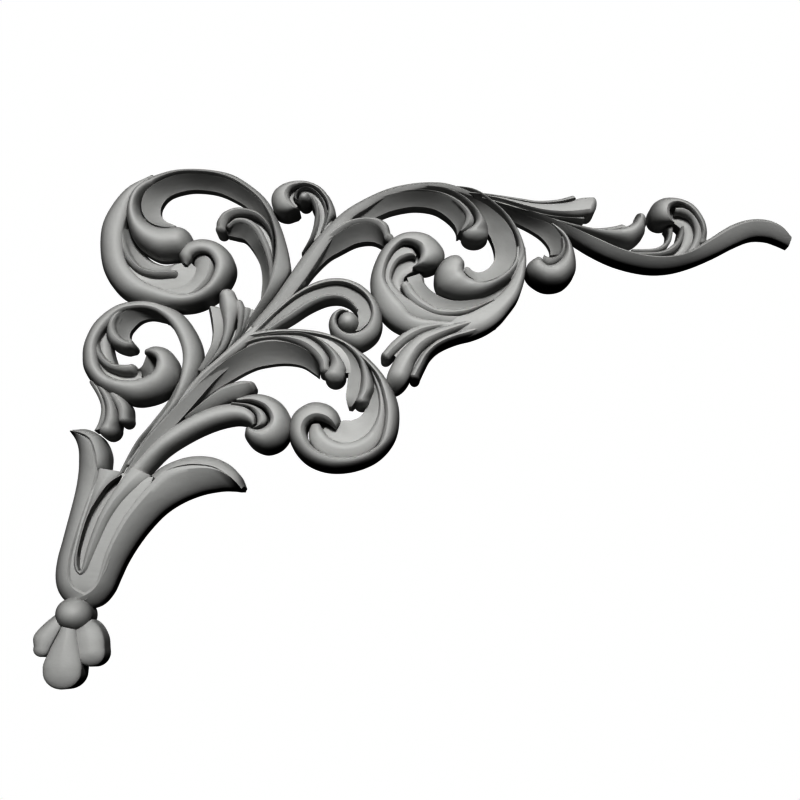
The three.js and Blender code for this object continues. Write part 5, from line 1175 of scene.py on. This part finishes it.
@dataclass
class Ornament:
    """The whole applique: its groups of leaves, its balls and its slot.

    Args:
        groups: the groups of leaves.
        balls: round bosses, the big one under the calyx first.
        slot: left x, left z, right x and right z along the calyx's slot, in squares.
        slot_floor: height of its floor, in steps.
        slot_steps: points along the slot for each of its places.
        cutter_rise: height of the slot's cutter, as a share of the drawing's.
        sharp: angle between two faces that stays a crisp edge.
    """

    groups: tuple[CarvedGroup, ...] = field(default_factory=lambda: (
        UpperScroll(), InnerLeaf(), LowerScroll(), Lobes(), Stems(), FanLeaf(), MainLeaf(),
        RightScroll(), RightVolute(), TailLeaf(), RightArm(), ForkVolute(), ArmTail(), ArmVolute(),
        HeartVolute(), TopVolute(), BigLeaf(), LeafCurl(), SpadeAndKnob(), Calyx(), Shell(),
    ))
    balls: tuple[Dome, ...] = (
        Dome(-79.6, -133.6, 9, 8, 24),
        Dome(53.8, 12.5, 5.3, 5.3, 21),
        Dome(31.4, 75.9, 3.3, 3.3, 22.5),
    )
    slot: tuple[tuple[float, float, float, float], ...] = (
        (-57.5, -65.5, -57.2, -66.5), (-63, -69.5, -59.7, -71.5), (-67.3, -75, -63.7, -78),
        (-72.4, -84, -68.9, -86.5), (-75.7, -94, -72.4, -96.5), (-77.8, -104, -74.8, -106),
        (-78, -109.5, -75.6, -110.5), (-77.3, -112.4, -76.2, -112.6),
    )
    slot_floor: float = 11.0
    slot_steps: int = 6
    cutter_rise: float = 1.5
    sharp: float = math.radians(36)

    def slot_cutter(self, tool: CarvingTool) -> bpy.types.Object:
        """Mesh that cuts the slot between the calyx's leaves.

        Args:
            tool: makes the mesh.

        Returns:
            A closed object from the slot's floor up past the relief.
        """
        rail = np.array(self.slot, float)
        shares = np.linspace(0, len(rail) - 1, self.slot_steps * len(rail))
        left, right = tool.smooth(rail[:, :2], shares), tool.smooth(rail[:, 2:], shares)
        top = self.cutter_rise * DRAWN_HEIGHT
        corners = ((right, self.slot_floor), (right, top), (left, top), (left, self.slot_floor))
        points = np.empty((len(shares), len(corners), 3))
        for corner, (edge, height) in enumerate(corners):
            points[:, corner, 0] = edge[:, 0] * SQUARE
            points[:, corner, 1] = -height * STEP
            points[:, corner, 2] = edge[:, 1] * SQUARE
        return tool.closed(points.reshape(-1, 3), len(shares), len(corners))

    @staticmethod
    def back_cutter(tool: CarvingTool) -> bpy.types.Object:
        """Mesh of all that lies behind the back plane.

        Args:
            tool: makes the mesh.

        Returns:
            A closed box, wider and deeper than the drawing.
        """
        half = DRAWN_LENGTH * SQUARE
        deep = 2 * DRAWN_HEIGHT * STEP
        plan = ((-half, 0), (half, 0), (half, deep), (-half, deep))
        corners = np.array([(x, y, z) for z in (-half, half) for x, y in plan])
        return tool.closed(corners, 2, len(plan))

    def carve(self, tool: CarvingTool) -> bpy.types.Object:
        """Carves the applique.

        Args:
            tool: makes and joins the meshes.

        Returns:
            One closed object with a flat back.
        """
        parts = [tool.dome(ball) for ball in self.balls]
        for group in self.groups:
            parts.append(group.solid(tool))
            log.info("%s: %d leaves", type(group).__name__, len(group.leaves))
        made = tool.joined(parts)
        made = tool.combine(made, self.slot_cutter(tool), Joint.CUT_AWAY)
        made = tool.combine(made, self.back_cutter(tool), Joint.CUT_AWAY)
        made.name = made.data.name = "carved_applique"
        self.smoothed(made)
        return made

    def smoothed(self, made: bpy.types.Object) -> None:
        """Smooths the shading between crisp edges.

        Args:
            made: the carved object.
        """
        mesh = made.data
        mesh.polygons.foreach_set("use_smooth", [True] * len(mesh.polygons))
        mesh.set_sharp_from_angle(angle=self.sharp)


Value = Union["Wire", float]
Sockets = dict[Union[str, int], object]


class Sum(Enum):
    """Sums that a shader does with two values."""

    ADD = "ADD"
    SUBTRACT = "SUBTRACT"
    MULTIPLY = "MULTIPLY"
    DIVIDE = "DIVIDE"


class Wire:
    """A value in a shader that sums can be done with."""

    def __init__(self, shader: "Shader", socket: bpy.types.NodeSocket) -> None:
        """Holds an output of a node.

        Args:
            shader: the shader that the node is in.
            socket: the output.
        """
        self.shader = shader
        self.socket = socket

    def sum(self, kind: Sum, first: Value, second: Value) -> "Wire":
        """A sum of two values.

        Args:
            kind: which sum.
            first: the first value.
            second: the second value.

        Returns:
            The result.
        """
        return self.shader.wire("ShaderNodeMath", {"operation": kind.value}, {0: first, 1: second})

    def __add__(self, other: Value) -> "Wire":
        """self + other."""
        return self.sum(Sum.ADD, self, other)

    def __radd__(self, other: Value) -> "Wire":
        """other + self."""
        return self.sum(Sum.ADD, other, self)

    def __sub__(self, other: Value) -> "Wire":
        """self - other."""
        return self.sum(Sum.SUBTRACT, self, other)

    def __rsub__(self, other: Value) -> "Wire":
        """other - self."""
        return self.sum(Sum.SUBTRACT, other, self)

    def __mul__(self, other: Value) -> "Wire":
        """self times other."""
        return self.sum(Sum.MULTIPLY, self, other)

    def __rmul__(self, other: Value) -> "Wire":
        """other times self."""
        return self.sum(Sum.MULTIPLY, other, self)

    def __truediv__(self, other: Value) -> "Wire":
        """self over other."""
        return self.sum(Sum.DIVIDE, self, other)

    def __rtruediv__(self, other: Value) -> "Wire":
        """other over self."""
        return self.sum(Sum.DIVIDE, other, self)


class Shader:
    """The nodes of one material or of the background."""

    def __init__(self, owner: Union[bpy.types.Material, bpy.types.World]) -> None:
        """Starts with no nodes.

        Args:
            owner: the material or background that the nodes are for.
        """
        owner.use_nodes = True
        self.tree = owner.node_tree
        self.tree.nodes.clear()

    def node(self, kind: str, settings: dict[str, object], values: Sockets) -> bpy.types.Node:
        """Adds a node.

        Args:
            kind: its type.
            settings: its settings by name.
            values: what goes into its sockets: wires are linked and the rest is set.

        Returns:
            The node.
        """
        made = self.tree.nodes.new(kind)
        for key, value in settings.items():
            setattr(made, key, value)
        for key, value in values.items():
            if isinstance(value, Wire):
                self.tree.links.new(value.socket, made.inputs[key])
            else:
                made.inputs[key].default_value = value
        return made

    def wire(self, kind: str, settings: dict[str, object], values: Sockets,
             output: Union[str, int] = 0) -> Wire:
        """Adds a node and takes one of its outputs.

        Args:
            kind: its type.
            settings: its settings by name.
            values: what goes into its sockets.
            output: the output that is taken.

        Returns:
            The output.
        """
        return Wire(self, self.node(kind, settings, values).outputs[output])

    def place(self) -> Wire:
        """Places on the object, in metres."""
        return self.wire("ShaderNodeTexCoord", {}, {}, "Object")

    def tinted(self, tone: Wire, colour: tuple[float, float, float]) -> Wire:
        """A colour made lighter and darker.

        Args:
            tone: how light it is, 1 for the colour itself.
            colour: the colour.

        Returns:
            The result.
        """
        channels = {i: tone * channel for i, channel in enumerate(colour)}
        return self.wire("ShaderNodeCombineColor", {}, channels)


# Noise lies about this value
NOISE_MEAN = 0.5


@dataclass(frozen=True)
class Noise:
    """Noise over a surface.

    Args:
        scale: its clouds for each metre.
        detail: layers of finer clouds.
        roughness: strength of the finer layers.
        distortion: how much it is stirred.
    """

    scale: float
    detail: float
    roughness: float = 0.5
    distortion: float = 0.0

    def over(self, place: Wire) -> Wire:
        """The noise at each place.

        Args:
            place: the places.

        Returns:
            A value about the mean.
        """
        return place.shader.wire("ShaderNodeTexNoise", {}, {
            "Vector": place, "Scale": self.scale, "Detail": self.detail,
            "Roughness": self.roughness, "Distortion": self.distortion})


def blend(first: Wire, second: Wire, share: float) -> Wire:
    """Two values mixed, with the first one's share."""
    return share * first + (1 - share) * second


@dataclass(frozen=True)
class PrimedWood:
    """Carved wood under a thin, satin grey primer.

    Args:
        colour: the primer's colour.
        colour_spread: how much lighter and darker the grain and clouds make it, as a share.
        grain_in_colour: the grain's share in that, beside the clouds.
        pore_spread: how much lighter and darker the pores make it, as a share.
        dust_and_shade: how much lighter the full relief is than the back, with dust and painted shade
            darkening the recesses.
        dust_and_shade_level: share of the relief at which the colour stays as it is.
        roughness: its roughness.
        roughness_spread: how much that varies.
        clouds_in_roughness: the clouds' share in that, beside the grain.
        ior: its index of refraction.
        gloss: strength of its reflections.
        grain_stretch: scale of the grain along x, y and z, least along the wood's length.
        grain: the wood's grain, seen across its length.
        pores: the wood's pores, seen across its length.
        marks: marks that the tools left.
        clouds: soft changes of tone.
        grain_in_relief: the grain's share in the fine relief, beside the pores.
        grain_depth: depth of the fine relief that shows through, in metres.
        tool_depth: depth of the marks, in metres.
    """

    colour: tuple[float, float, float] = (0.33, 0.33, 0.325)
    colour_spread: float = 0.10
    grain_in_colour: float = 0.5
    pore_spread: float = 0.04
    dust_and_shade: float = 0.05
    dust_and_shade_level: float = 0.4
    roughness: float = 0.58
    roughness_spread: float = 0.12
    clouds_in_roughness: float = 0.6
    ior: float = 1.45
    gloss: float = 0.22
    grain_stretch: tuple[float, float, float] = (0.09, 1.0, 1.0)
    grain: Noise = Noise(900.0, 4.0, 0.6, 0.15)
    pores: Noise = Noise(2700.0, 2.0)
    marks: Noise = Noise(160.0, 2.0, 0.45, 0.6)
    clouds: Noise = Noise(28.0, 3.0)
    grain_in_relief: float = 0.6
    grain_depth: float = 0.00006
    tool_depth: float = 0.00012

    def material(self, name: str) -> bpy.types.Material:
        """Makes the material.

        Args:
            name: its name.

        Returns:
            The material.
        """
        made = bpy.data.materials.new(name)
        shader = Shader(made)
        place = shader.place()
        along = shader.wire("ShaderNodeMapping", {}, {"Vector": place, "Scale": self.grain_stretch})
        grain, pores = self.grain.over(along), self.pores.over(along)
        marks, clouds = self.marks.over(place), self.clouds.over(place)
        relief = shader.wire("ShaderNodeSeparateXYZ", {}, {"Vector": place}, "Y") / -(DRAWN_HEIGHT * STEP)
        # The tone gets darker towards the back of the relief: dust and painted shade in the recesses.
        tone = (1 + self.colour_spread * (blend(grain, clouds, self.grain_in_colour) - NOISE_MEAN)
                + self.dust_and_shade * (relief - self.dust_and_shade_level) + self.pore_spread * (pores - NOISE_MEAN))
        mottle = blend(clouds, grain, self.clouds_in_roughness) - NOISE_MEAN
        fine = shader.wire("ShaderNodeBump", {}, {
            "Distance": self.grain_depth, "Height": blend(grain, pores, self.grain_in_relief)}, "Normal")
        normal = shader.wire("ShaderNodeBump", {}, {
            "Distance": self.tool_depth, "Height": marks, "Normal": fine}, "Normal")
        surface = shader.wire("ShaderNodeBsdfPrincipled", {}, {
            "Base Color": shader.tinted(tone, self.colour), "Normal": normal,
            "Roughness": self.roughness + self.roughness_spread * mottle,
            "IOR": self.ior, "Specular IOR Level": self.gloss})
        shader.node("ShaderNodeOutputMaterial", {}, {"Surface": surface})
        return made


@dataclass(frozen=True)
class PaleFloor:
    """Matt pale floor.

    Args:
        colour: its colour.
        colour_spread: how much lighter and darker it gets, as a share.
        clouds: soft changes of tone.
        roughness: its roughness.
        glow: its own light, as it lies below the beams of the lamps.
    """

    colour: tuple[float, float, float] = (0.82, 0.82, 0.81)
    colour_spread: float = 0.04
    clouds: Noise = Noise(2.0, 3.0)
    roughness: float = 0.9
    glow: float = 0.95

    def material(self, name: str) -> bpy.types.Material:
        """Makes the material.

        Args:
            name: its name.

        Returns:
            The material.
        """
        made = bpy.data.materials.new(name)
        shader = Shader(made)
        tone = 1 + self.colour_spread * (self.clouds.over(shader.place()) - NOISE_MEAN)
        colour = shader.tinted(tone, self.colour)
        surface = shader.wire("ShaderNodeBsdfPrincipled", {}, {
            "Base Color": colour, "Roughness": self.roughness,
            "Emission Color": colour, "Emission Strength": self.glow})
        shader.node("ShaderNodeOutputMaterial", {}, {"Surface": surface})
        return made


@dataclass(frozen=True)
class Lamp:
    """A square soft light that points at the applique.

    Args:
        name: its name.
        towards: direction from the applique to the light.
        distance: how far away it is, in metres.
        size: length of its side, in metres.
        power: in watts.
        mirrored: whether the gloss of the wood reflects it.
    """

    name: str
    towards: tuple[float, float, float]
    distance: float
    size: float
    power: float
    mirrored: bool = True


@dataclass
class Studio:
    """Camera, lights, background and floor.

    Args:
        target: the point that the camera looks at, in metres.
        distance: from the camera to it, in metres.
        elevation: the camera's height above the horizon, in degrees.
        lens: focal length, in millimetres.
        sensor: width of the camera's picture, in millimetres.
        lamps: the lights.
        beam: angle of the beam of each light.
        glow: light from the background on the applique.
        floor_z: height of the floor, in metres.
        floor_size: length of its side, in metres.
        contrast: the picture's gamma. Below 1 its shadows are darker.
    """

    target: tuple[float, float, float] = (0.080, -0.014, -0.0275)
    distance: float = 0.8
    elevation: float = -9.2
    lens: float = 72.0
    sensor: float = 36.0
    lamps: tuple[Lamp, ...] = (
        Lamp("key", (0.06, -0.93, 0.33), 2.6, 0.45, 5.5),
        Lamp("side", (-0.60, -0.60, 0.45), 2.6, 0.60, 0.5),
        Lamp("back", (0.00, 0.95, 0.30), 2.6, 1.00, 6.0, mirrored=False),
    )
    beam: float = math.radians(36)
    glow: float = 0.004
    floor_z: float = -1.6
    floor_size: float = 3.0
    contrast: float = 0.52

    def camera(self) -> None:
        """Sets up the camera at the photograph's viewing angle."""
        data = bpy.data.cameras.new("camera")
        data.lens, data.sensor_width = self.lens, self.sensor
        data.dof.use_dof = False
        made = bpy.data.objects.new("camera", data)
        rise = math.radians(self.elevation)
        aside = Vector((0.0, -math.cos(rise), math.sin(rise)))
        made.location = Vector(self.target) + aside * self.distance
        made.rotation_euler = (-aside).to_track_quat("-Z", "Y").to_euler()
        bpy.context.scene.collection.objects.link(made)
        bpy.context.scene.camera = made

    def light(self, lamp: Lamp) -> None:
        """Hangs one light.

        Args:
            lamp: the light.
        """
        data = bpy.data.lights.new(lamp.name, "AREA")
        data.shape, data.size, data.energy = "SQUARE", lamp.size, lamp.power
        data.spread = self.beam
        made = bpy.data.objects.new(lamp.name, data)
        made.visible_glossy = lamp.mirrored
        towards = Vector(lamp.towards).normalized()
        made.location = Vector(self.target) + towards * lamp.distance
        made.rotation_euler = (-towards).to_track_quat("-Z", "Y").to_euler()
        bpy.context.scene.collection.objects.link(made)

    def background(self) -> None:
        """White behind the applique, with little light from it."""
        world = bpy.data.worlds.new("studio")
        shader = Shader(world)
        seen = shader.wire("ShaderNodeLightPath", {}, {}, "Is Camera Ray")
        strength = self.glow + (1 - self.glow) * seen
        backing = shader.wire("ShaderNodeBackground", {}, {"Color": WHITE, "Strength": strength})
        shader.node("ShaderNodeOutputWorld", {}, {"Surface": backing})
        bpy.context.scene.world = world

    def floor(self) -> None:
        """Lays the pale floor far below the applique, and keeps its light off the wood."""
        half = self.floor_size / 2
        corners = [(-half, -half, 0), (half, -half, 0), (half, half, 0), (-half, half, 0)]
        mesh = bpy.data.meshes.new("floor")
        mesh.from_pydata(corners, [], [(0, 1, 2, 3)])
        made = bpy.data.objects.new("floor", mesh)
        made.location = (self.target[0], 0.0, self.floor_z)
        made.visible_diffuse = made.visible_glossy = False
        mesh.materials.append(PaleFloor().material("pale_floor"))
        bpy.context.scene.collection.objects.link(made)

    def build(self) -> None:
        """Sets up the whole studio."""
        self.camera()
        for lamp in self.lamps:
            self.light(lamp)
        self.background()
        self.floor()
        bpy.context.scene.view_settings.view_transform = "Standard"
        bpy.context.scene.view_settings.gamma = self.contrast
        log.info("studio: %d lights", len(self.lamps))


def main() -> None:
    """Builds the studio and the applique, puts the carving on its body in place of the faceted part, and
    logs its faces.
    """
    logging.basicConfig(level=logging.INFO, format="%(name)s: %(message)s")
    Studio().build()
    piece = Ornament().carve(CarvingTool())
    piece.data.materials.clear()
    piece.data.materials.append(PrimedWood().material("primed_carved_wood"))
    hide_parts(NODE)
    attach(piece, BODY)
    log.info("carved_applique: %d faces", len(piece.data.polygons))


if __name__ == "__main__":
    main()
